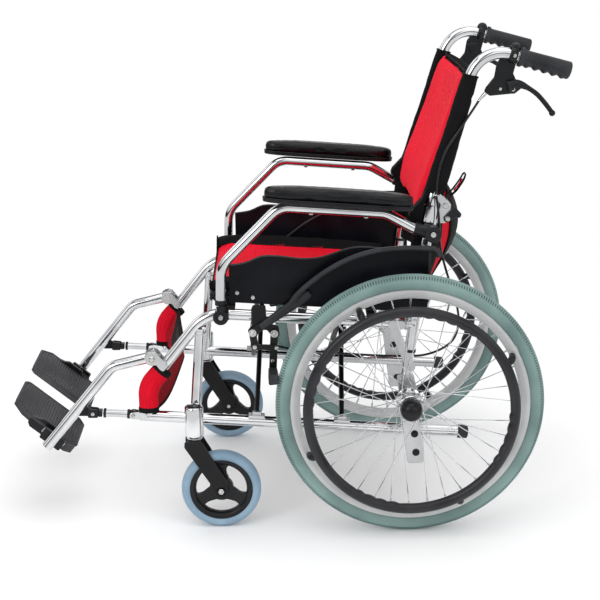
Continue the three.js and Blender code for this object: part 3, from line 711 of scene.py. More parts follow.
def hub():
    a, b = -26, 24
    profile = [(6.6, a - 5), (13, a - 5), (14.5, a - 3), (24, a - 2), (25, a - 1), (25, a + 1), (24, a + 2),
               (15, a + 4), (12, a + 9), (11.5, 0), (12, b - 9), (15, b - 4), (24, b - 2), (25, b - 1),
               (25, b + 1),
               (24, b + 2), (14.5, b + 3), (14, 31), (13, 33), (6.6, 33)]
    return lathe(profile, 40)


def wheel_rim():
    low = WHEEL_R - TYRE_R + TYRE_R * math.cos(BEAD_ANGLE) - 0.4
    half = [(low, 12.6), (low - 1, 14.2), (226, 14.4), (222, 13.6), (217, 10.5), (214, 6.5), (212.6, 2)]
    return lathe(half + [(r, -x) for r, x in reversed(half)], 144)


HANDRIM_X = 45
WAVES = ((50, 85), (135, 180), (-125, -95), (-35, 0))


def handrim():
    rows = []
    count = 540
    for i in range(count):
        degrees = 360 * i / count
        bump = 0.0
        for start, end in WAVES:
            inside = (degrees - start) % 360
            if inside < end - start:
                ends = min(1.0, inside / 3, (end - start - inside) / 3)
                bump = 2.6 * ends * abs(math.sin(inside * RAD * 180 / 7))
        turn = degrees * RAD
        row = []
        for k in range(16):
            around = TURN * k / 16
            inner = max(0.0, -math.cos(around))
            size = 10 + bump * inner - 0.8 * inner * (1 if bump else 0)
            reach = 198 + size * math.cos(around)
            row.append((HANDRIM_X + size * math.sin(around), reach * math.cos(turn), reach * math.sin(turn)))
        rows.append(row)
    return skin(rows, looped=True)


def stand_offs():
    parts = []
    for degrees in (27, 117, 206, 297):
        c, s = math.cos(degrees * RAD), math.sin(degrees * RAD)
        line = [(14, 217 * c, 217 * s), (24, 216 * c, 216 * s), (37, 210 * c, 210 * s),
                (43, 203 * c, 203 * s)]
        parts.append(sweep(curve(line, 3), circle(6.5, 14), [1, 1, 1, 1.05, 1.1, 1.12, 1.1, 1.05, 1, 0.9]))
    return join(*parts)


def rear_wheel():
    for tyre in pair("wheel_tyre", wheel_tyre(), "tyre", "wheel", ["wheel_tyre"], at=WHEEL, sharp=45):
        shade_grooves(tyre)
    pair("wheel_rim", wheel_rim(), "rim", "wheel", ["wheel_rim"], at=WHEEL)
    pair("wheel_hub", hub(), "chrome", "wheel", at=WHEEL)
    pair("wheel_spokes", spokes(), "spoke", "wheel", at=WHEEL)
    pair("handrim", handrim(), "handrim", "wheel", ["handrim"], at=WHEEL, sharp=70)
    pair("handrim_stand_offs", stand_offs(), "plastic", "wheel", at=WHEEL)
    cap = lathe([(0, 57), (6, 56.4), (12, 54.2), (17, 50), (20, 44.5), (21.4, 39), (21, 35), (19.5, 33.6),
                 (0, 33.6)], 40)
    pair("hub_cap", cap, "plastic", "wheel", ["hub_cap"], at=WHEEL)
    ring = lathe([(17, 31), (22.4, 31), (22.8, 32), (22.4, 33.4), (17, 33.4)], 40)
    pair("hub_trim", ring, "zinc", "wheel", at=WHEEL)


def caster():
    at = place(CASTER_X, CASTER_Y, CASTER_R)
    core = 62.4
    half = [(core, 12), (65, 14.2), (70, 15), (74, 13.5), (77, 10), (78.6, 5)]
    tyre = lathe(half + [(CASTER_R, 0)] + [(r, -x) for r, x in reversed(half)], 96)
    pair("caster_tyre", tyre, "caster_tyre", "caster_wheel", ["caster_tyre"], at=at)
    rim = lathe([(62, -12), (62, 12), (59, 12.6), (55, 11), (52, 9), (50, 4), (50, -4), (52, -9), (55, -11),
                 (59, -12.6)], 72)
    hub_part = lathe([(4.6, -15), (11, -15), (13, -13), (16, -9), (24, -7), (24, 7), (16, 9), (13, 13),
                      (11, 15),
                      (4.6, 15)], 40)
    arms = []
    for degrees in (90, 210, 330):
        side = degrees * RAD
        outline = []
        for reach, half_turn in ((18, 50), (28, 26), (38, 16), (46, 15), (54, 20)):
            outline.append((reach * math.cos(side - half_turn * RAD),
                            reach * math.sin(side - half_turn * RAD)))
        for reach, half_turn in ((54, 20), (46, 15), (38, 16), (28, 26), (18, 50)):
            outline.append((reach * math.cos(side + half_turn * RAD),
                            reach * math.sin(side + half_turn * RAD)))
        arms.append(plate(outline, -5.5, 5.5))
        for edge in (-1, 1):
            line = [(5.2, reach * math.cos(side + edge * turn * RAD),
                     reach * math.sin(side + edge * turn * RAD))
                    for reach, turn in ((22, 40), (28, 24), (38, 14), (46, 13), (54, 17))]
            arms.append(bar(curve(line, 3), 1.6, 8))
    pair("caster_wheel", join(rim, hub_part, *arms), "plastic", "caster_wheel", ["caster_wheel"], at=at,
         bevel=0.6)


def caster_fork():
    trail = CASTER_Y - STEM_Y
    at = place(CASTER_X, STEM_Y)
    outline = [(-19, 184), (14, 184), (trail + 14, 96), (trail + 15, 74), (trail + 4, 64), (trail - 10, 68),
               (trail - 22, 96), (-20, 172)]
    sides = join(plate(outline, 16.6, 20.6, 5), plate(outline, -20.6, -16.6, 5))
    crown = block(-20, 20, -15, 11, 167, 184, 3)
    pair("caster_fork", join(sides, crown), "powder", "caster_fork", ["caster_fork"], at=at, bevel=1.0)
    stem = lathe([(0, 168), (7, 168), (7, 236), (5, 239), (0, 239)], 24, "Z")
    bearing = lathe([(7, 184.2), (14, 184.2), (15.5, 185.5), (15.5, 187), (14, 188.6), (7, 188.6)], 32, "Z")
    pair("caster_stem", join(stem, bearing), "zinc", "caster_fork", at=at)
    axle = (trail, CASTER_R)
    spacer = lathe([(4.2, 15.2), (9.5, 15.2), (8, 16.6), (4.2, 16.6)], 24)
    parts = join(pin(axle, 4, -22, 22), hex_nut(axle, 20.6, 6.6, 3.6), moved(spacer, place(0, *axle)))
    pair("caster_bolt", parts, "zinc", "caster_fork", at=at)


# ---- armrest and side guard ----

ARM_TOP = ((-246, 646), (-45, 630))
ARM_FALL = (ARM_TOP[1][1] - ARM_TOP[0][1]) / (ARM_TOP[1][0] - ARM_TOP[0][0])
PAD_LENGTH = 286
PAD_THICK = 32
PAD_X = ARM_OUT + 14
PAD_Y = -136


def arm_top(y):
    return ARM_TOP[0][1] + (y - ARM_TOP[0][0]) * ARM_FALL


def armrest():
    line = flat([(-362, 437), (-359, 533), *ARM_TOP, (8, 600), ARM_PIVOT], ARM_OUT)
    path = rounded(line, [55, 45, 45, 30])
    pair("armrest_tube", bar(path, TUBE - 1, 24), "chrome", "armrest", ["armrest_frame"])
    inward = (Vector((ARM_OUT, 8, 600)) - Vector((ARM_OUT, *ARM_PIVOT))).normalized()
    hub_at = Vector((ARM_OUT, *ARM_PIVOT))
    sleeve = sweep([hub_at + inward * d for d in (6, 20, 22, 35, 37)], circle(13.4, 24),
                   [1, 1, 0.93, 0.93, 0.82])
    eye = moved(lathe([(5.6, -11), (14.4, -11), (15, -9), (15, 10), (14, 11.4), (5.6, 11.4)], 36),
                place(*hub_at))
    pair("armrest_sleeve", join(sleeve, eye), "plastic", "armrest", bevel=0.8)
    screws = []
    for y in (-186, -82):
        head = lathe([(0, 0), (2.2, 0), (4.4, 1), (4.6, 3), (0, 3)], 16, "Z")
        screws.append(moved(head, place(ARM_OUT, y, arm_top(y) - TUBE - 1.4)))
    pair("pad_screws", join(*screws), "zinc", "armrest")
    pair("armrest_foot_ring", moved(lathe([(TUBE - 1, 0), (11.6, 0), (11.6, 10), (TUBE - 1, 10)], 28, "Z"),
                                    place(ARM_OUT, -361.6, 455.5)), "plastic", "armrest", bevel=0.6)


def knuckle():
    parts = join(
        moved(lathe([(0, 11.4), (14, 11.4), (14, 15.5), (0, 15.5)], 32), place(0, *ARM_PIVOT)),
        pin(ARM_PIVOT, 5, 12, 42),
        moved(lathe([(7, 39), (15, 39), (16, 40), (16, 43.5), (14.6, 45), (9, 45.4), (7.5, 44), (0, 44),
                     (0, 39)], 36),
              place(0, *ARM_PIVOT)))
    pair("armrest_knuckle", parts, "plastic", "frame", ["armrest_knuckle"], bevel=0.5)
    pair("knuckle_screw", bolt(ARM_PIVOT, 44.2, 5.4, 2.2), "zinc", "frame")
    at = (-362, 426)
    cup = lathe([(0, 0), (15.5, 0), (15.5, 9), (12, 9), (0, 9)], 36, "Z")
    wall = []
    for k in range(25):
        turn = (-60 + 240 * k / 24 + 30) * RAD
        wall.append([(r * math.sin(turn - 90 * RAD), r * math.cos(turn - 90 * RAD), h)
                     for r, h in ((12.2, 8), (15.5, 8), (15.5, 29), (14.6, 30), (12.2, 29))])
    cup = moved(join(cup, skin(wall)), place(ARM_OUT, *at))
    at = (at[0], at[1] + 8)
    boss = moved(lathe([(0, TUBE + 0.4), (13, TUBE + 0.4), (13, ARM_OUT - 11.8), (0, ARM_OUT - 11.8)], 32),
                 place(0, *at))
    cover = moved(lathe([(0, 38), (14, 38), (15, 39.5), (15, 43), (13.8, 44.6), (8, 45), (7, 43.8),
                         (0, 43.8)], 36),
                  place(0, *at))
    pair("armrest_socket", join(cup, boss, cover), "plastic", "frame", ["armrest_socket"], bevel=0.5)
    pair("socket_screw", bolt(at, 44, 5.0, 2.2), "zinc", "frame")


GUARD_TOP = [(-345, 530), (-312, 535), (-281, 547), (-245, 546), (-208, 541), (-174, 542), (-148, 549),
             (-118, 559), (-88, 562), (-46, 558), (-10, 557), (39, 558)]
FENDER = [(-222, 458), (-206, 478), (-167, 510), (-123, 536), (-76, 552), (-20, 559), (44, 558)]


def side_guard():
    top = [(v.y, v.z) for v in curve(flat(GUARD_TOP), 4)]
    bottom = [(39, 430), (-343, 457), (-345, 462)]
    pair("side_guard", plate(top + bottom, 13, 16.5), "panel", "frame", ["side_guard"], bevel=0.8)
    hook = [(0, 0), (20, 0.6), (25, 0), (28, -2.4), (29, -6), (29, -11), (27.4, -11), (27.2, -6), (25.6, -3),
            (22, -1.8), (0, -2)]
    path = curve(flat(FENDER, 15), 5) + flat([(50, 553), (52, 545)], 15)
    fender = sweep(path, [(a, b) for a, b in hook])
    pair("guard_fender", fender, "fender", "frame", sharp=50)
    pair("guard_piping", bar(curve(flat(GUARD_TOP, 15), 4), 2.0, 10), "piping", "frame")
    rear_edge = sweep(flat([(40, 560), (40, 498)], 15), [(-3, -2.5), (4, -2.5), (4, 2.5), (-3, 2.5)])
    pair("guard_rear_edge", rear_edge, "piping", "frame", bevel=0.8)
    screws = join(*[bolt((y, z), 16.5, 4.2, 2) for y, z in ((-330, 476), (-300, 466))])
    pair("guard_screws", screws, "zinc", "frame")
    # Grey lines on the guard's inner face: the upper one, following the fender, is a painted highlight; the
    # lower one runs along the bottom edge.
    inside = join(*[bar(curve(flat(line, 12), 5), 2.2, 8) for line in
                    ([(-230, 476), (-180, 512), (-120, 538), (-50, 552)],
                     [(-330, 466), (-200, 457), (-60, 447), (30, 441)])])
    pair("guard_grey_lines", inside, "piping", "frame")


# ---- upper back, handles and brakes ----


def on_handle(distance):
    return (GRIP_FROM[0] + distance * math.cos(GRIP_TILT), GRIP_FROM[1] + distance * math.sin(GRIP_TILT))


def back_post():
    start = (post_y(638) + 0.8, 640.5)
    path = rounded(flat([start, (48, 670), (131.4, 938.7), on_handle(94)]), [60, 60], 6 * RAD)
    pair("back_post", bar(path, TUBE, 24), "chrome", "back", ["back_post"])
    clamp = sweep(flat([(44.6, 640.4), (44.8, 641), (47.6, 668), (47.8, 669)]), circle(14.8, 32),
                  [0.98, 1.0, 0.82, 0.78])
    pair("hinge_clamp", clamp, "chrome", "back")
    y, z = BACK_PIVOT
    cheek = [(50, 656), (52, 664), (60, 662), (y + 5, z + 6), (y + 7, z - 2), (y, z - 7), (y - 7, z - 3)]
    pair("hinge_cheeks", join(plate(cheek, 6.6, 12, 4), plate(cheek, -12, -6.6, 4)), "cast", "back",
         bevel=1.2)
    rivets = join(pin(BACK_PIVOT, 4, -12, 12), bolt(BACK_PIVOT, 12, 6), bolt((50, 664), 12, 4))
    pair("hinge_rivets", rivets, "zinc", "back")
    loop = curve([(0, 74, 660), (2, 83, 669), (5, 96, 688), (6, 103, 700), (6, 107, 699), (5, 104, 688),
                  (3, 93, 670), (1, 85, 661), (0, 79, 656)], 5)
    pair("release_loop", sweep(loop, [(-4.5, -1), (4.5, -1), (4.5, 1), (-4.5, 1)]), "webbing", "back",
         bevel=0.4)
    inner = [Vector((2, 86, 667)), Vector((4, 94, 678)), Vector((5, 101, 690))]
    pair("release_loop_lining", bar(curve(inner, 4), 1.5, 8), "thread", "back")


def grip():
    """Smooth on top, ribbed at the sides, with finger waves below."""
    rows = []
    stations = 120
    for i in range(stations + 1):
        along = -1 + (GRIP_LENGTH + 2) * i / stations
        share = i / stations
        base = 15.2 + 1.6 * share
        if along < 4:
            base = 18.4
        elif along < 7:
            base = 18.4 - 2.9 * (along - 4) / 3
        if share > 0.955:
            base *= math.sqrt(max(0.0, 1 - ((share - 0.955) / 0.045) ** 2)) * 0.5 + 0.5
        wave = 2.0 * math.cos(TURN * (along - 15) / 17.5) if 10 < along < 90 else 0.0
        rib = 0.3 * (1 if (i // 1) % 2 else -1) if 10 < along < 88 else 0.0
        row = []
        for k in range(32):
            around = TURN * k / 32
            below = max(0.0, -math.sin(around)) ** 1.5
            beside = abs(math.cos(around)) ** 3
            size = base + wave * below + rib * beside
            row.append((size * math.cos(around), along, size * math.sin(around)))
        rows.append(row)
    at = place(FRAME_X, *GRIP_FROM, GRIP_TILT)
    pair("handle_grip", skin(rows), "grip", "back", ["handle_grip"], at=at, sharp=50)
    ring = lathe([(TUBE, -1), (13, -1), (13.4, -1.6), (13.4, -3.6), (12.6, -4.4), (TUBE, -4.4)], 32, "Y")
    pair("handle_ring", ring, "zinc", "back", at=at)


def brake_body():
    y, z = BRAKE_PIVOT
    outline = [(175, 922), (190, 930), (202, 926), (199, 905), (194, 886), (203, 868), (203, 856), (198, 849),
               (151, 845), (140, 853), (144, 861), (159, 880), (163, 905)]
    body = plate(outline, -8, 1.8, 5)
    collar = sweep(flat([on_handle(-21), on_handle(-19), on_handle(-8), on_handle(-6)]), circle(16.5, 32),
                   [0.92, 1, 1, 0.92])
    top = Vector((0, *on_handle(-13.5))) + Vector((0, 0.28, 0.96)) * 12
    dome = sweep([top + Vector((x, 0, 0)) for x in (-9, -8, -4, 0, 4, 8, 9)], circle(11, 24),
                 [0.5, 0.72, 0.94, 1, 0.94, 0.72, 0.5])
    rib = plate([(166, 900), (188, 900), (186, 880), (170, 878)], -10, 2.2, 5)
    pair("brake_body", join(body, collar, dome, rib), "plastic", "back", ["brake_body"], bevel=2.2, sharp=50)
    pair("brake_screws", join(bolt(on_handle(-13), 15.8, 3.6), bolt((170, 858), 1.8, 3.2)), "zinc", "back")
    barrel = sweep(flat([(146, 853), (138, 844), (136, 842), (130, 835)]), circle(3.6, 14), [1, 1, 0.8, 0.7])
    pair("cable_barrel", moved(barrel, place(-3)), "zinc", "back")
    path = curve(flat([(y - 8, z + 4), (y + 8, z + 9), (y + 24, z + 4), (y + 44, z - 9), (y + 60, z - 26),
                       (y + 74, z - 44)], 5.7), 6)
    count = len(path)
    widths = [1.55 - 1.0 * min(1, 2.2 * i / count) ** 0.8 for i in range(count)]
    lever = sweep(path, [(a * 0.62, b) for a, b in circle(8.4, 20)], widths)
    tip = lathe([(0, -6)] + [(6 * math.cos(a * RAD),
                              6 * math.sin(a * RAD)) for a in range(-70, 71, 20)] + [(0, 6)], 24)
    tip = moved(tip, place(5.7, y + 75, z - 46))
    root = strap((y, z), (y + 10, z + 8), 8.5, 2.6, 8.8)
    pair("brake_lever", join(lever, tip, root), "plastic", "brake_lever", ["brake_lever"], sharp=60)
    pair("lever_screw", bolt(BRAKE_PIVOT, 9, 4.4, 2.4), "zinc", "brake_lever")


def back_latch():
    outline = [(68, 608), (66, 615), (80, 630), (87, 638), (101, 622), (98, 614), (88, 617), (74, 606)]
    pair("back_latch", plate(outline, 6.4, 11, 4), "plastic", "back_latch", ["back_latch"], bevel=1.2)


def brake_cable():
    """From the lever down the back post, round behind the wheel and forward to the wheel lock."""
    upper = [(-3, 131, 836), (5, 119, 820), (13, 106, 803), (17, 90, 780), (18, 70, 750), (18, 58, 718),
             (18.5, 53, 690), (19, 51, 664)]
    lower = [(19, 51, 660), (20, 56, 620), (20, 60, 560), (18, 76, 500), (14, 92, 452), (10, 98, 404),
             (6, 84, 366),
             (3, 40, 342), (0, -20, 338), (-2, -120, 344), (2, -220, 356), (12, -262, 368)]
    pair("brake_cable_upper", bar(curve(upper, 8), 2.3, 10), "cable", "back")
    pair("brake_cable_lower", bar(curve(lower, 6), 2.3, 10), "cable", "frame")
    ties = join(*[moved(lathe([(TUBE, -3), (12.4, -3), (12.4, 3), (TUBE, 3)], 24, "Z"),
                        place(0, post_y(z), z, -7.8 * RAD))
                  for z in (470, 350)])
    pair("cable_clips", ties, "plastic", "frame", bevel=0.5)


# ---- wheel lock ----

LOCK_X0, LOCK_X1 = 23.4, 28.4
LOCK_LINK = tuple((p[0] + 4, p[1] - 27) for p in (LOCK_PIVOT, SHOE_PIVOT))


def wheel_lock():
    outline = [(-302, 452), (-276, 452), (-274, 416), (-252, 410), (-249, 390), (-262, 386), (-274, 402),
               (-288, 402), (-294, 389), (-308, 388), (-311, 402), (-303, 412)]
    clamp = [(-304, 414), (-278, 414), (-278, 446), (-304, 446)]
    clips = join(*[moved(lathe([(TUBE + 0.3, -8), (13.2, -8), (13.2, 8), (TUBE + 0.3, 8)], 28, "Y"),
                         place(0, y, upper_rail(y), -SLOPE)) for y in (-296, -284)])
    parts = join(plate(outline, 19, 23, 4), plate(clamp, 11.4, 20, 4), clips)
    pair("wheel_lock_plate", parts, "powder", "frame", ["wheel_lock_plate"], bevel=0.8)
    pins = join(hex_nut(LOCK_PIVOT, 29, 6, 3.6), hex_nut(SHOE_PIVOT, 29, 6, 3.6),
                pin(LOCK_PIVOT, 3.5, 22, 30),
                pin(SHOE_PIVOT, 3.5, 22, 30))
    pair("wheel_lock_bolts", pins, "zinc", "frame")
    handle = join(strap(LOCK_PIVOT, LOCK_LINK[0], 7, LOCK_X0, LOCK_X1),
                  strap(LOCK_PIVOT, (-222, 454), 7.5, LOCK_X0, LOCK_X1))
    pair("wheel_lock_handle", handle, "powder", "lock_handle", ["wheel_lock_handle"], bevel=0.8)
    line = flat([(-286, 409), (-262, 426), (-222, 454), (-196, 472.5), (-191, 476)], 25.9)
    hold = sweep(line, [(a * 0.62, b) for a, b in circle(10, 20)], [0.72, 0.86, 1.0, 0.96, 0.6])
    pair("wheel_lock_grip", hold, "grip", "lock_handle", bevel=0.8)
    shoe = (-264, 320)
    pair("wheel_lock_arm", strap(SHOE_PIVOT, shoe, 7.5, LOCK_X0, LOCK_X1), "powder", "lock_arm",
         ["wheel_lock_arm"],
         bevel=0.8)
    rod = pin(shoe, 6, LOCK_X0 - 2, 36)
    outline = [(shoe[0] - 9, shoe[1] + 9), (shoe[0] + 8, shoe[1] + 9), (shoe[0] + 12, shoe[1] - 10),
               (shoe[0] - 8, shoe[1] - 12)]
    pair("wheel_lock_shoe", join(rod, plate(outline, 30, 80, 4)), "grip", "lock_arm", bevel=1.2)
    pair("shoe_bolt", bolt((shoe[0], shoe[1] + 22), LOCK_X1, 4.2), "zinc", "lock_arm")
    a, b = LOCK_LINK
    link = join(strap(a, b, 5.5, 29, 32), pin(a, 3, LOCK_X0, 30), pin(b, 3, LOCK_X0, 30))
    pair("wheel_lock_link", link, "powder", "lock_link", ["wheel_lock_link"], bevel=0.5)
    pair("link_bolts", join(bolt(a, 32, 4.4, 2.4), bolt(b, 32, 4.4, 2.4)), "zinc", "lock_link")


# ---- legrest and footplate ----

UP_LEG = (math.sin(-FOOT_TILT), math.cos(FOOT_TILT))
FOOT_HINGE = (LEG_END[0] + 15 * UP_LEG[0], LEG_END[1] + 15 * UP_LEG[1])
HINGE_X = -25
FOOT = place(FRAME_X, *FOOT_HINGE, FOOT_TILT)


def legrest():
    y, z = LEG_PIVOT
    path = rounded(flat([(y - 11.2, z - 2.6), (-579, 326.5), LEG_END]), 35, 5 * RAD)
    pair("leg_tube", pipe(path, TUBE, 1.6, 24), "chrome", "legrest", ["leg_tube"])
    hexed = plate([(y + 17 * math.cos(a * RAD), z + 17 * math.sin(a * RAD)) for a in range(22, 382, 60)],
                  -9.4, 9.4, 3)
    washer = moved(lathe([(5, 9.2), (10, 9.2), (10, 9.7), (5, 9.7)], 28), place(0, y, z))
    pair("leg_hinge_block", join(hexed, washer), "cast", "legrest", bevel=1.6)
    end_y, end_z = STRUT_END
    lug = [(-664, 226), (-644, 250), (end_y - 2, end_z + 7), (end_y + 6, end_z + 3), (end_y + 6, end_z - 4),
           (end_y - 3, end_z - 7)]
    pair("strut_lug", plate(lug, -3, 3, 2), "powder", "legrest", bevel=0.6)
    ears = [moved(lathe([(3.4, e - 2.2), (7.5, e - 2.2), (7.5, e + 2.2), (3.4, e + 2.2)], 24, "Y"),
                  place(HINGE_X))
            for e in (-21.8, 21.8)]
    tabs = [block(HINGE_X, -11, e - 2.2, e + 2.2, -7, 7, 0.5) for e in (-21.8, 21.8)]
    saddle = block(-16, -7, -24, 24, -12, 12, 3)
    pair("foot_clamp", join(*ears, *tabs, saddle), "plastic", "legrest", at=FOOT, bevel=0.8)
    hinge = lathe([(0, -25), (3.5, -25), (3.5, 25), (0, 25)], 18, "Y")
    heads = [moved(lathe([(0, -2), (6, -2), (6, 1), (4, 2.4), (0, 2.6)], 20, "Y"), place(HINGE_X, 24.4)),
             moved(lathe([(0, 2), (6, 2), (6, -1), (4, -2.4), (0, -2.6)], 20, "Y"), place(HINGE_X, -24.4))]
    pair("foot_hinge_pin", join(moved(hinge, place(HINGE_X)), *heads), "zinc", "legrest", at=FOOT)


def footplate():
    inner = 43 - FRAME_X
    outer = HINGE_X - 9
    heel = 50
    outline = [(-100, inner + 10), (-92, inner), (heel - 12, inner), (heel, inner + 16), (heel, outer - 14),
               (heel - 16, outer), (-76, outer), (-100, outer - 24)]
    corners = loop_of([Vector((x, y, 0)) for y, x in outline], 6)
    base = skin([[p + Vector((0, 0, z)) for p in corners] for z in (-4, 4.4)])
    middle = sum(corners, Vector()) / len(corners)
    rim = sweep([p.lerp(middle, 0.012) + Vector((0, 0, 3.6)) for p in corners], circle(3.2, 10), looped=True)
    wall = []
    for p in corners:
        drop = -17 if p.x > outer - 40 and p.y > -70 else -6
        wall.append((p, p.lerp(middle, 0.03), drop))
    rows = [[p + Vector((0, 0, -2)) for p, _, _ in wall], [p + Vector((0, 0, drop)) for p, _, drop in wall],
            [q + Vector((0, 0, drop)) for _, q, drop in wall], [q + Vector((0, 0, -2)) for _, q, _ in wall]]
    pair("footplate", join(base, rim, skin(rows, looped=True)), "tread", "footplate", ["footplate"], at=FOOT,
         bevel=1.0)
    ribs = []
    pitch = 6.2
    for i in range(24):
        y = -92 + pitch * i
        if y > heel - 10:
            break
        high = outer - 8 - max(0.0, -74 - y) - max(0.0, y - heel + 20)
        ribs.append(bar([(inner + 8, y, 4.6), (high, y, 4.6)], 1.8, 8))
    pair("footplate_ribs", join(*ribs), "tread", "footplate", at=FOOT)
    barrel = moved(lathe([(3.9, -19), (7.4, -19), (8, -18), (8, 18), (7.4, 19), (3.9, 19)], 28, "Y"),
                   place(HINGE_X))
    web = block(HINGE_X - 12, HINGE_X - 4, -19, 19, -4, 6, 2)
    guard = plate([(-50, -16), (20, -16), (20, 6), (6, 8), (2, 15), (-34, 15), (-44, 9), (-58, 6),
                   (-58, -10)],
                  outer - 9, outer + 1, 3)
    pair("footplate_hinge", join(barrel, web, guard), "plastic", "footplate", at=FOOT, bevel=1.2)


def strut():
    tilt = -math.atan2(STRUT_END[1] - STRUT_PIVOT[1], STRUT_PIVOT[0] - STRUT_END[0])
    length = math.hypot(STRUT_END[0] - STRUT_PIVOT[0], STRUT_END[1] - STRUT_PIVOT[1])
    at = place(FRAME_X, *STRUT_PIVOT, tilt)
    tube = lathe([(5.4, -7.6), (7.6, -7.6), (7.6, -57), (5.4, -57)], 28, "Y")
    pair("strut_tube", tube, "chrome", "strut_sleeve", ["strut_sleeve"], at=at)
    ring = [(5.4, -53.4), (5.4, -58.6), (9, -58.6), (9.6, -57.6), (9.6, -54.2), (9, -53.4)]
    eye = lathe([(3.4, -6.8), (8.5, -6.8), (8.5, 6.8), (3.4, 6.8)], 28)
    boot = lathe([(5.4, -6), (8.8, -6), (9.4, -7), (9.4, -11), (8.8, -12), (5.4, -12)], 32, "Y")
    pair("strut_collar", join(lathe(ring, 32, "Y"), eye, boot), "plastic", "strut_sleeve", at=at, bevel=0.4)
    pair("strut_rod", bar([(0, -11.5, 0), (0, -64, 0)], 5, 20), "chrome", "strut_rod", ["strut_rod"], at=at)
    front, back = -length - 9, -64
    cheeks = [plate([(back - 5, -8.5), (back - 5, 8.5), (front, 9.5), (front - 2, 0), (front, -9.5)], x0, x1,
                    3)
              for x0, x1 in ((3.8, 9.4), (-9.4, -3.8))]
    root = block(-8, 8, back - 5, back + 3, -6.6, 6.6, 1.5)
    pair("strut_clevis", join(*cheeks, root), "plastic", "strut_rod", at=at, bevel=1.4)
    pair("clevis_bolt", bolt((-length, 0), 9.2, 4.2), "zinc", "strut_rod", at=at)


# ---- folding cross ----

CROSS_Y = (-305, -136)
BRACE_HALF, BRACE_DEEP = 5.0, 10.0
BRACE_STEP = BRACE_HALF + 0.7
BRACE_ANGLE = math.atan2(FOLD_RISE, FRAME_X + SEAT_X)
FOLD = place(0, 0, RAIL_Z, -SLOPE)


def brace(side):
    """Feet on the rail at +X and the seat rail at -X: the black tubes, then the bare metal."""
    tubes, metal = [], []
    along = Vector((-math.cos(BRACE_ANGLE), 0, math.sin(BRACE_ANGLE)))
    oval = [(a * BRACE_HALF, b * BRACE_DEEP) for a, b in
            ((math.copysign(abs(math.cos(t)) ** 0.5, math.cos(t)),
              math.copysign(abs(math.sin(t)) ** 0.5, math.sin(t)))
             for t in [TURN * (k + 0.5) / 24 for k in range(24)])]
    across = along.cross(Vector((0, 1, 0)))
    for cross in CROSS_Y:
        y = cross + side * BRACE_STEP
        foot = Vector((FRAME_X, y, 0)) + along * 13
        top = Vector((-SEAT_X, y, FOLD_RISE))
        rows = [[end + Vector((0, a, 0)) + across * b for a, b in oval] for end in (foot, top)]
        tubes.append(skin(rows))
        tubes.append(bead(top - along * 15, along, 8.6, 1.4))
        metal.append(block(FRAME_X - 10, FRAME_X + 10, y - 16, y + 16, TUBE - 2.5, TUBE + 3, 1.5))
        ear = plate([(y - 10, 10), (y + 10, 10), (y + 8, 20), (y - 8, 20)], FRAME_X - 5, FRAME_X + 5, 2)
        metal.append(ear)
        for dy in (-12, 12):
            metal.append(moved(lathe([(0, 12), (3.6, 12), (3.6, 15), (2, 16.2), (0, 16.2)], 14, "Z"),
                               place(FRAME_X, y + dy, 0)))
        if side > 0:
            height = FRAME_X * math.tan(BRACE_ANGLE)
            reach = BRACE_STEP + BRACE_HALF
            metal.append(bar([(0, cross - reach - 6, height), (0, cross + reach + 6, height)], 4.5, 18))
            for end, way in ((cross - reach, -1), (cross + reach, 1)):
                nut = lathe([(0, 0.3 * way), (8, 0.3 * way), (8, 5 * way), (6.6, 6 * way), (0, 6 * way)], 6,
                            "Y")
                metal.append(moved(nut, place(0, end, height)))
    rail = pipe([(-SEAT_X, -396, FOLD_RISE), (-SEAT_X, -36, FOLD_RISE)], TUBE, 1.6, 24)
    return join(*tubes, rail), join(*metal)


def rail_plugs():
    parts = []
    for y, way in ((-398, -1), (-34, 1)):
        profile = [(0, -3 * way), (TUBE - 1.8, -3 * way), (TUBE - 1.8, 0), (TUBE + 1.2, 0),
                   (TUBE + 1.2, 2.4 * way),
                   (TUBE - 1, 5 * way), (0, 5.6 * way)]
        parts.append(moved(lathe(profile, 28, "Y"), place(-SEAT_X, y, FOLD_RISE)))
    return join(*parts)


def folding_cross():
    for name, side, turn in (("brace_a", 1, lambda s: s), ("brace_b", -1, mirrored)):
        tubes, metal = brace(side)
        piece(name, turn(moved(tubes, FOLD)), "powder", name, [name], sharp=50)
        piece(f"{name}_feet", turn(moved(metal, FOLD)), "cast", name, bevel=0.6)
        piece(f"{name}_rail_plugs", turn(moved(rail_plugs(), FOLD)), "plastic", name, bevel=0.5)
        sleeve = []
        for i in range(41):
            y = -388 + 9.2 * i
            wrinkle = 0.5 * noise.noise(Vector((side * 3, y * 0.05, 0)))
            sleeve.append([(-SEAT_X + (13.4 + wrinkle) * math.cos(TURN * k / 24), y,
                            FOLD_RISE + (12.6 + wrinkle) * math.sin(TURN * k / 24)) for k in range(24)])
        piece(f"{name}_rail_sleeve", turn(moved(skin(sleeve), FOLD)), "black_seat", name)


# ---- padded fabric ----


def padded(outer, inner, count_u, count_v):
    """A closed pad between two surfaces of (u, v) in 0..1, joined round their borders."""
    def sheet(surface):
        return [[surface(i / count_u, j / count_v) for i in range(count_u + 1)] for j in range(count_v + 1)]

    top, under = sheet(outer), sheet(inner)
    verts = [v for row in top for v in row] + [v for row in under for v in row]
    width = count_u + 1
    base = width * (count_v + 1)
    faces = []
    for j in range(count_v):
        for i in range(count_u):
            a = j * width + i
            faces.append([a, a + 1, a + 1 + width, a + width])
            faces.append([base + a, base + a + width, base + a + 1 + width, base + a + 1])
    border = [i for i in range(count_u)] + [count_u + j * width for j in range(count_v)]
    border += [count_v * width + i for i in range(count_u, 0, -1)] + [j * width for j in range(count_v, 0,
                                                                                               -1)]
    for a, b in zip(border, border[1:] + border[:1]):
        faces.append([a, b, base + b, base + a])
    return verts, faces


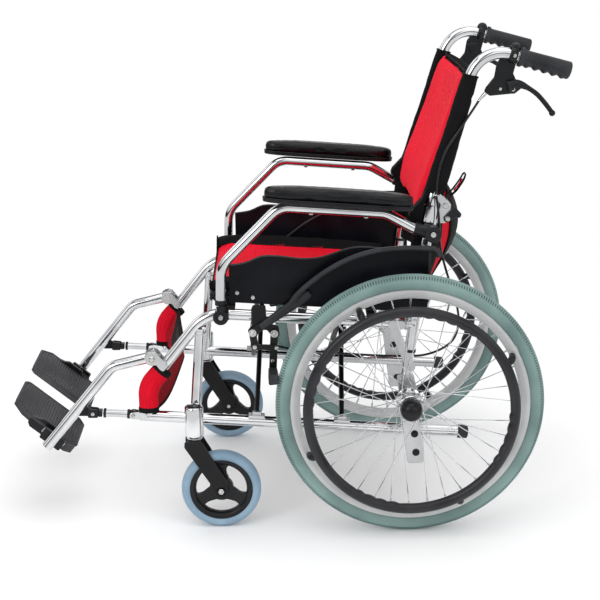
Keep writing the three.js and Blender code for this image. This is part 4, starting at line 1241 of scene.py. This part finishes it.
def puffed(name, shape, voxel, cap, floor=None, pressure=4.0):
    """The shape remeshed and swollen as cloth under air pressure, no point moving further than the cap."""
    mesh = mesh_of(name, shape)
    work = bpy.data.objects.new(name + "_work", mesh)
    bpy.context.scene.collection.objects.link(work)
    remesh = work.modifiers.new("voxels", "REMESH")
    remesh.mode = "VOXEL"
    remesh.voxel_size = voxel * MM
    remesh.use_smooth_shade = True
    graph = bpy.context.evaluated_depsgraph_get()
    solid = bpy.data.meshes.new_from_object(work.evaluated_get(graph))
    work.modifiers.clear()
    work.data = solid
    rest = [v.co.copy() for v in solid.vertices]
    cloth = work.modifiers.new("air", "CLOTH")
    cloth.settings.use_pressure = True
    cloth.settings.uniform_pressure_force = pressure
    cloth.settings.effector_weights.gravity = 0
    cloth.settings.quality = 4
    cloth.settings.tension_stiffness = 12
    cloth.settings.bending_stiffness = 0.4
    cloth.point_cache.frame_start = 1
    cloth.point_cache.frame_end = 20
    scene = bpy.context.scene
    for number in range(1, 21):
        scene.frame_set(number)
    graph = bpy.context.evaluated_depsgraph_get()
    swollen = work.evaluated_get(graph).to_mesh()
    for v, was, now in zip(solid.vertices, rest, [w.co.copy() for w in swollen.vertices]):
        shift = now - was
        if shift.length > cap * MM:
            shift = shift.normalized() * cap * MM
        v.co = was + shift
    work.evaluated_get(graph).to_mesh_clear()
    work.modifiers.clear()
    scene.frame_set(1)
    if floor:
        for v in solid.vertices:
            v.co = floor(v.co)
    bpy.data.objects.remove(work)
    return solid


def mirrored_mesh(mesh):
    other = mesh.copy()
    other.transform(Matrix.Scale(-1, 4, ACROSS))
    other.flip_normals()
    return other


def arm_pads():
    """A vinyl cushion with rounded ends on a thin moulded base."""
    half_length, half_width = PAD_LENGTH / 2, 24.0
    tilt = math.atan(ARM_FALL)
    at = place(FRAME_X + PAD_X, PAD_Y, arm_top(PAD_Y) + TUBE + 0.6, tilt)

    def ring(size, z, grow=0.0):
        points = []
        for k in range(72):
            turn = TURN * k / 72
            c, s = math.cos(turn), math.sin(turn)
            x = math.copysign(abs(c) ** 0.8, c) * (half_width * size + grow)
            y = math.copysign(abs(s) ** 0.42, s) * (half_length * (1 - (1 - size) * 0.2) + grow)
            points.append((x, y, z))
        return points

    base = skin([ring(0.9, 0, -2), ring(0.96, 0.8), ring(0.98, 5), ring(0.96, 7)])
    pair("arm_pad_base", base, "plastic", "armrest", at=at, bevel=0.5)
    rows = [ring(0.9, 7.2), ring(0.95, 9, -1.4), ring(0.985, 14, -1.4), ring(0.97, 21, -1.6),
            ring(0.9, 26, -1.8),
            ring(0.74, 28.6, -2.4), ring(0.4, 29.6, -4)]
    top_z = PAD_THICK + 0.8

    def settle(point):
        """Keeps the cushion on its base and adds the vinyl's fine creases."""
        local = at.inverted() @ Vector((point.x / MM, point.y / MM - AXLE_Y, point.z / MM))
        near_end = max(0.0, abs(local.y) - half_length * 0.55) / (half_length * 0.45)
        crease = noise.noise(Vector((local.x * 0.05, local.y * 0.16, local.z * 0.05)))
        fine = noise.noise(Vector((local.x * 0.09 + 7, local.y * 0.42, local.z * 0.2)))
        local.z += 0.5 * crease + (0.35 + 0.5 * near_end) * fine
        local.z = min(max(local.z, 7.0), top_z)
        local.x = min(max(local.x, -24.4), 24.4)
        local.y = min(max(local.y, -half_length), half_length)
        world = at @ local
        return Vector((world.x * MM, (world.y + AXLE_Y) * MM, world.z * MM))

    mesh = puffed("arm_pad", moved(skin(rows), at), 4, 3.2, settle)
    other = mirrored_mesh(mesh)
    piece("left_arm_pad", mesh, "vinyl", "left_armrest", ["left_armrest_pad"], levels=1)
    piece("right_arm_pad", other, "vinyl", "right_armrest", ["right_armrest_pad"], levels=1)
    seam = [Vector(p) for p in ring(0.985, 8.0, -0.4)]
    pair("arm_pad_seam", sweep(seam, circle(1.1, 8), looped=True), "vinyl", "armrest", at=at)


SEAT_FRONT, SEAT_REAR = -386, -18


def ease(share):
    share = min(1.0, max(0.0, share))
    return share * share * (3 - 2 * share)


def seat_height(x, y):
    """The cushion's top: two padded borders over the seat rails, and a sagging middle."""
    border = 27 * ease((abs(x) - 156) / 36) - 6 * ease((abs(x) - 197) / 12)
    sag = 4 * (1 - min(1.0, abs(x) / 158) ** 2)
    front = 9 * max(0.0, (SEAT_FRONT + 30 - y) / 30) ** 2
    return seat_rail(y) + TUBE + 2.5 + border - sag - front


def seat():
    def top(u, v):
        x = -206 + 412 * u
        y = SEAT_FRONT + (SEAT_REAR - SEAT_FRONT) * v
        return Vector((x, y, seat_height(x, y) - 3))

    def under(u, v):
        point = top(u, v)
        thick = 14 + 11 * ease((abs(point.x) - 156) / 32) - 9 * ease((abs(point.x) - 190) / 16)
        return point + Vector((0, 0, -thick))

    shape = padded(top, under, 40, 36)

    def lift(point):
        y = point.y / MM - AXLE_Y
        rail = seat_rail(y) + TUBE + 1.4 + (0 if abs(point.x / MM) > 176 else -14)
        return Vector((point.x, point.y, max(point.z, rail * MM)))

    mesh = puffed("seat_cushion", shape, 6, 4.5, lift)
    made = piece("seat_cushion", mesh, "red_seat", "seat_sling", ["seat"], levels=1)
    mesh.materials.append(MATERIALS["black_seat"])
    for polygon in mesh.polygons:
        middle = polygon.center
        if abs(middle.x) > 166 * MM or polygon.normal.z < -0.3:
            polygon.material_index = 1
    squash_seat(made)
    seams = []
    for x in (-166, 166):
        line = [(x, y, seat_height(x, y) + 1.2) for y in range(SEAT_FRONT + 4, SEAT_REAR - 3, 8)]
        seams.append(bar(line, 1.7, 8))
    squash_seat(piece("seat_seams", join(*seams), "binding", "seat_sling"))
    front = [(x, SEAT_FRONT + 2.5, seat_height(x, SEAT_FRONT) - 10) for x in range(-204, 205, 8)]
    squash_seat(piece("seat_front_binding", sweep(front, [(-7, -1.6), (7, -1.6), (7, 1.6), (-7, 1.6)]),
                      "binding",
                      "seat_sling", bevel=0.6))
    quilting = []
    for y in (-300, -205, -110):
        line = [(x, y, seat_height(x, y) + 1.0) for x in range(-144, 145, 8)]
        quilting.append(bar(line, 0.9, 6))
    squash_seat(piece("seat_quilting", join(*quilting), "thread", "seat_sling"))


def squash_seat(made):
    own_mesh(made)


def squash_back(made):
    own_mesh(made)


BACK_TOP = 884


def back_post_y(z):
    """The centre of the back post at a height."""
    return 48 + (z - 670) * (131.4 - 48) / (938.7 - 670) if z > 662 else 46.5 - (662 - z) * 0.14


def upper_back():
    def face(u, v):
        z = 606 + (BACK_TOP - 606) * v
        corner = 1 - 0.1 * max(0.0, (v - 0.9) / 0.1) ** 2 - 0.06 * max(0.0, (0.12 - v) / 0.12) ** 2
        x = (-203 + 406 * u) * corner
        across = abs(2 * u - 1)
        forward = 12 + 15 * (1 - v) ** 1.4 - 9 * max(0.0, (across - 0.8) / 0.2) ** 2
        sag = 15 * (1 - across ** 2.4) * (0.6 + 0.4 * math.sin(math.pi * v))
        drop = 5 * (1 - across ** 2) * v ** 6
        return Vector((x, back_post_y(z) - forward + sag, z - drop))

    def rear(u, v):
        point = face(u, v)
        return point + Vector((0, 9 + 5 * (1 - v), -2))

    shape = padded(face, rear, 40, 30)
    mesh = puffed("upper_back_cushion", shape, 6, 4.0)
    made = piece("back_cushion", mesh, "red_back", "left_back", ["back_upper"], levels=1)
    mesh.materials.append(MATERIALS["black_sleeve"])
    for polygon in mesh.polygons:
        if polygon.normal.y > 0.45 and polygon.normal.z < 0.7:
            polygon.material_index = 1
    squash_back(made)
    piping = [face(u / 40, 1.0) + Vector((0, 5.5, 2.2)) for u in range(1, 40)]
    squash_back(piece("back_top_piping", bar(piping, 1.6, 8), "binding", "left_back"))
    panel = [[Vector((x, back_post_y(z) + 13 + 10 * (1 - (x / 205) ** 2), z)) for x in range(-215, 216, 10)]
             for z in range(652, 881, 12)]
    squash_back(piece("back_rear_panel", open_sheet(panel), "black_sleeve", "left_back", thick=1.6))
    pocket = [[Vector((x, back_post_y(z) + 20
                       + 14 * (1 - (x / 180) ** 2) * math.sin(math.pi * (z - 672) / 150) ** 0.5, z))
               for x in range(-168, 169, 8)] for z in range(673, 819, 8)]
    squash_back(piece("back_pocket", open_sheet(pocket), "black_sleeve", "left_back", thick=1.6))
    hem = [(x, back_post_y(817) + 20.5 + 3 * (1 - (x / 180) ** 2), 818) for x in range(-168, 169, 8)]
    squash_back(piece("pocket_hem", bar(hem, 2.2, 8), "thread", "left_back"))


def open_sheet(rows):
    width = len(rows[0])
    verts = [v for row in rows for v in row]
    faces = []
    for j in range(len(rows) - 1):
        for i in range(width - 1):
            a = j * width + i
            faces.append([a, a + 1, a + 1 + width, a + width])
    return verts, faces


def post_sleeves():
    """The upholstery's black edges, wrapped round the posts."""
    rows = []
    for i in range(58):
        z = 662 + (BACK_TOP - 662) * i / 57
        v = i / 57
        deep = 18.5 - 4.5 * v ** 2 + 0.6 * math.sin(v * 9)
        wide = 13.6
        row = []
        for k in range(28):
            turn = TURN * k / 28
            wrinkle = 0.7 * noise.noise(Vector((math.cos(turn), math.sin(turn), z * 0.07)))
            notch = 2.0 * max(0.0, math.cos(turn)) * math.exp(-((z - 846) / 5) ** 2)
            row.append(((wide + wrinkle) * math.sin(turn),
                        back_post_y(z) + 2.5 - 3 * v ** 2 + (deep + wrinkle - notch) * math.cos(turn),
                        z - 0.28 * deep * math.cos(turn)))
        rows.append(row)
    pair("post_sleeve", skin(rows), "black_sleeve", "back", sharp=60)
    hem = [Vector(rows[-1][k]) for k in range(28)]
    pair("sleeve_hem", sweep(hem, circle(1.6, 8), looped=True), "binding", "back")
    flap = [(42, 676), (34, 676), (25, 652), (4, 630), (0, 620), (16, 598), (24, 604), (31, 650), (40, 668)]
    pair("sleeve_flap", plate(flap, -13, 12.6, 4), "black_sleeve", "back", bevel=3.0, sharp=60)
    rows = []
    for i in range(30):
        z = 498 + 104 * i / 29
        row = []
        for k in range(28):
            turn = TURN * k / 28
            wrinkle = 0.7 * noise.noise(Vector((math.cos(turn), math.sin(turn) + 5, z * 0.07)))
            row.append((-6 + (13 + wrinkle) * math.sin(turn),
                        post_y(z) - 8 + (20 + wrinkle) * math.cos(turn), z))
        rows.append(row)
    pair("lower_post_sleeve", skin(rows), "black_sleeve", "frame", sharp=60)


def lower_back():
    """A sling that hangs behind the posts, with a bound edge."""
    def point(x, z, push=0.0):
        across = 1 - abs(x / 214) ** 2.6
        height = math.sin(math.pi * min(1.0, max(0.0, (z - 470) / 190)))
        return Vector((x, post_y(z) + 4 + 74 * across * (0.4 + 0.6 * height) + push, z))

    rows = [[point(x, z) for x in range(-212, 213, 8)] for z in range(476, 633, 10)]
    squash_back(piece("lower_back_sling", open_sheet(rows), "red_lower", "left_frame", ["back_lower"],
                      thick=5))
    for name, z in (("lower_back_top_binding", 632), ("lower_back_bottom_binding", 478)):
        line = [point(x, z) for x in range(-212, 213, 8)]
        squash_back(piece(name, sweep(line, circle(4.2, 10)), "binding", "left_frame"))
    panel = [[point(x, z, 5.2) for x in range(-150, 151, 10)] for z in range(480, 631, 10)]
    squash_back(piece("lower_back_rear_panel", open_sheet(panel), "black_sleeve", "left_frame", thick=1.8))
    for name, x in (("left_edge", 196), ("right_edge", -196)):
        rows = [[point(x + dx, z, 3.6) for dx in range(-15, 16, 5)] for z in range(478, 633, 10)]
        squash_back(piece(f"lower_back_{name}", open_sheet(rows), "black_sleeve", "left_frame", thick=1.8))
        inward = -0.1 if x > 0 else 0.1
        rows = [[point(x * 1.08 + inward * dx, z, -3.8) for dx in range(0, 801, 100)] for z in range(478,
                                                                                                     633, 10)]
        squash_back(piece(f"lower_back_{name}_front", open_sheet(rows), "black_sleeve", "left_frame",
                          thick=1.8))


def calf_strap():
    """Red mesh between the front tubes, hanging back in the middle, its sleeves round the tubes."""
    def point(x, v, push=0.0):
        share = abs(x) / 216
        back = 47 * (1 - share ** 1.5)
        bottom = 272 - 42 * ease(share / 0.8)
        top = 314 - 8 * (1 - share)
        z = bottom + (top - bottom) * v
        lean = 30 * max(0.0, (z - 262) / 60) * share ** 2
        return Vector((x, -503 + lean + back + push, z))

    rows = [[point(x, v / 12) for x in range(-212, 213, 8)] for v in range(13)]
    # The strap is the red mesh darkened to under half its brightness: painted shade on its shadowed rear
    # face.
    squash_back(piece("calf_strap", open_sheet(rows), "red_painted_shade", "left_frame", ["calf_strap"], thick=5))
    for name, v in (("top", 1), ("bottom", 0)):
        line = [point(x, v) for x in range(-212, 213, 8)]
        squash_back(piece(f"calf_strap_{name}_binding", sweep(line, circle(4.2, 10)), "binding",
                          "left_frame"))
    front = [[point(x, v / 10, -4.2) for x in range(-160, 161, 8)] for v in range(11)]
    squash_back(piece("calf_fastener", open_sheet(front), "webbing", "left_frame", thick=2.4))

    tube = rounded(flat([(-440, 365), (-510, 285), (-510, 215)]), 60, 4 * RAD)
    inside = [p for p in tube if 238 < p.z < 318]
    path = [Vector((0, -478, 321)), *[p for p in inside if p.z < 316], Vector((0, -510, 233))]
    around = [(a * 14.5, b * 19) for a, b in circle(1.0, 28)]
    sizes = [1 + 0.06 * math.sin(math.pi * i / (len(path) - 1)) for i in range(len(path))]
    pair("calf_sleeve", sweep(path, around, sizes), "red_calf", "frame", sharp=60)
    for number, (a, b) in enumerate(((path[0], path[1]), (path[-1], path[-2]))):
        along = (b - a).normalized()
        ring = [a - along * 1.0, a, a + along * 9, a + along * 10]
        pair(f"calf_sleeve_binding_{number + 1}", sweep(ring, around, [0.94, 1.06, 1.06, 1.0]), "binding",
             "frame")


# ---- studio ----


def studio():
    scene = bpy.context.scene
    floor_mesh = bpy.data.meshes.new("floor")
    size = 14.0
    floor_mesh.from_pydata([(-size, -size, 0), (size, -size, 0), (size, size, 0), (-size, size, 0)], [],
                           [(0, 1, 2, 3)])
    floor = bpy.data.objects.new("floor", floor_mesh)
    scene.collection.objects.link(floor)
    material = bpy.data.materials.new("floor")
    material.use_nodes = True
    nodes, links = material.node_tree.nodes, material.node_tree.links
    shader = nodes["Principled BSDF"]
    shader.inputs["Base Color"].default_value = (0.95, 0.95, 0.955, 1)
    shader.inputs["Roughness"].default_value = 0.75
    shader.inputs["Specular IOR Level"].default_value = 0.1
    floor_mesh.materials.append(material)

    def math_node(nodes, links, operation, a, b):
        made = nodes.new("ShaderNodeMath")
        made.operation = operation
        made.use_clamp = operation == "MULTIPLY_ADD"
        for socket, value in zip(made.inputs, (a, *b)):
            if hasattr(value, "links"):
                links.new(value, socket)
            else:
                socket.default_value = value
        return made.outputs[0]

    # Seen directly, the floor fades to white away from the chair; in reflections it turns grey.
    distance = nodes.new("ShaderNodeVectorMath")
    distance.operation = "LENGTH"
    links.new(nodes.new("ShaderNodeNewGeometry").outputs["Position"], distance.inputs[0])
    path = nodes.new("ShaderNodeLightPath")
    far = math_node(nodes, links, "MULTIPLY_ADD", distance.outputs["Value"], (1.5, -0.9))
    bright = nodes.new("ShaderNodeEmission")
    bright.inputs["Color"].default_value = (1, 1, 1, 1)
    dark = nodes.new("ShaderNodeEmission")
    dark.inputs["Color"].default_value = (0.82, 0.82, 0.83, 1)
    seen = nodes.new("ShaderNodeMixShader")
    links.new(path.outputs["Is Glossy Ray"], seen.inputs[0])
    links.new(bright.outputs[0], seen.inputs[1])
    links.new(dark.outputs[0], seen.inputs[2])
    blend = nodes.new("ShaderNodeMixShader")
    links.new(far, blend.inputs[0])
    links.new(shader.outputs[0], blend.inputs[1])
    links.new(seen.outputs[0], blend.inputs[2])
    links.new(blend.outputs[0], nodes["Material Output"].inputs["Surface"])

    world = bpy.data.worlds.new("studio")
    scene.world = world
    world.use_nodes = True
    nodes, links = world.node_tree.nodes, world.node_tree.links
    background = nodes["Background"]
    direction = nodes.new("ShaderNodeTexCoord").outputs["Generated"]
    split = nodes.new("ShaderNodeSeparateXYZ")
    links.new(direction, split.inputs[0])
    ramp = nodes.new("ShaderNodeValToRGB")
    ramp.color_ramp.elements[0].position = 0.0
    ramp.color_ramp.elements[0].color = (0.8, 0.8, 0.82, 1)
    ramp.color_ramp.elements[1].position = 1.0
    ramp.color_ramp.elements[1].color = (1.0, 1.0, 1.0, 1)
    for position, grey in ((0.48, 0.6), (0.5, 0.04), (0.56, 0.04), (0.59, 0.9), (0.7, 1.25), (0.82, 1.25),
                           (0.86, 0.45),
                           (0.9, 0.45), (0.93, 1.2)):
        stop = ramp.color_ramp.elements.new(position)
        stop.color = (grey, grey, grey * 1.01, 1)
    half = math_node(nodes, links, "MULTIPLY_ADD", split.outputs["Z"], (0.5, 0.5))
    links.new(half, ramp.inputs["Fac"])
    # Upright tubes need dark and bright strips side by side as well.
    turn = math_node(nodes, links, "ARCTAN2", split.outputs["Y"], (split.outputs["X"],))
    strips = math_node(nodes, links, "SINE", math_node(nodes, links, "MULTIPLY", turn, (5.0,)), ())
    strips = math_node(nodes, links, "MULTIPLY_ADD", strips, (1.9, 1.55))
    room = nodes.new("ShaderNodeMix")
    room.data_type = "RGBA"
    room.blend_type = "MULTIPLY"
    room.inputs["Factor"].default_value = 0.8
    links.new(ramp.outputs["Color"], room.inputs["A"])
    links.new(strips, room.inputs["B"])
    path = nodes.new("ShaderNodeLightPath")
    pick = nodes.new("ShaderNodeMix")
    pick.data_type = "RGBA"
    links.new(path.outputs["Is Glossy Ray"], pick.inputs["Factor"])
    pick.inputs["A"].default_value = (1.0, 1.0, 1.0, 1)
    links.new(room.outputs["Result"], pick.inputs["B"])
    links.new(pick.outputs["Result"], background.inputs["Color"])
    background.inputs["Strength"].default_value = 1.0

    for name, where, aim, width, power in (
        ("overhead", (0.4, 0.0, 3.2), (0, 0, 0.3), 3.0, 26),
        ("key", (3.0, -2.2, 2.4), (0, 0, 0.5), 1.4, 24),
        ("fill", (2.6, 2.6, 1.4), (0, 0, 0.5), 1.2, 8),
    ):
        light = bpy.data.lights.new(name, "AREA")
        light.size = width
        light.energy = power
        made = bpy.data.objects.new(name, light)
        made.location = where
        made.rotation_mode = "QUATERNION"
        made.rotation_quaternion = (Vector(aim) - Vector(where)).to_track_quat("-Z", "Y")
        scene.collection.objects.link(made)
    scene.view_settings.view_transform = "Standard"


def camera():
    """At the chair's left, a little above it, a long lens level with the seat."""
    yaw, pitch, roll = -0.79 * RAD, 15.34 * RAD, -0.73 * RAD
    forward = Vector((-math.cos(pitch) * math.cos(yaw), -math.cos(pitch) * math.sin(yaw), -math.sin(pitch)))
    right = forward.cross(Vector(UP)).normalized()
    up = right.cross(forward)
    right, up = (right * math.cos(roll) + up * math.sin(roll), up * math.cos(roll) - right * math.sin(roll))
    lens = bpy.data.cameras.new("camera")
    lens.lens = 88.65
    lens.sensor_width = 36
    lens.clip_end = 60
    made = bpy.data.objects.new("camera", lens)
    made.matrix_world = Matrix.Translation((2.9866, -0.0073,
                                            1.2127)) @ Matrix((right, up, -forward)).transposed().to_4x4()
    bpy.context.scene.collection.objects.link(made)
    bpy.context.scene.camera = made


side_frame()
caster_housing()
cradles()
leg_lugs()
back_tongue()
tip_caps()
rear_wheel()
caster()
caster_fork()
armrest()
knuckle()
side_guard()
back_post()
grip()
brake_body()
back_latch()
brake_cable()
wheel_lock()
legrest()
footplate()
strut()
folding_cross()
arm_pads()
seat()
upper_back()
post_sleeves()
lower_back()
calf_strap()
studio()
camera()
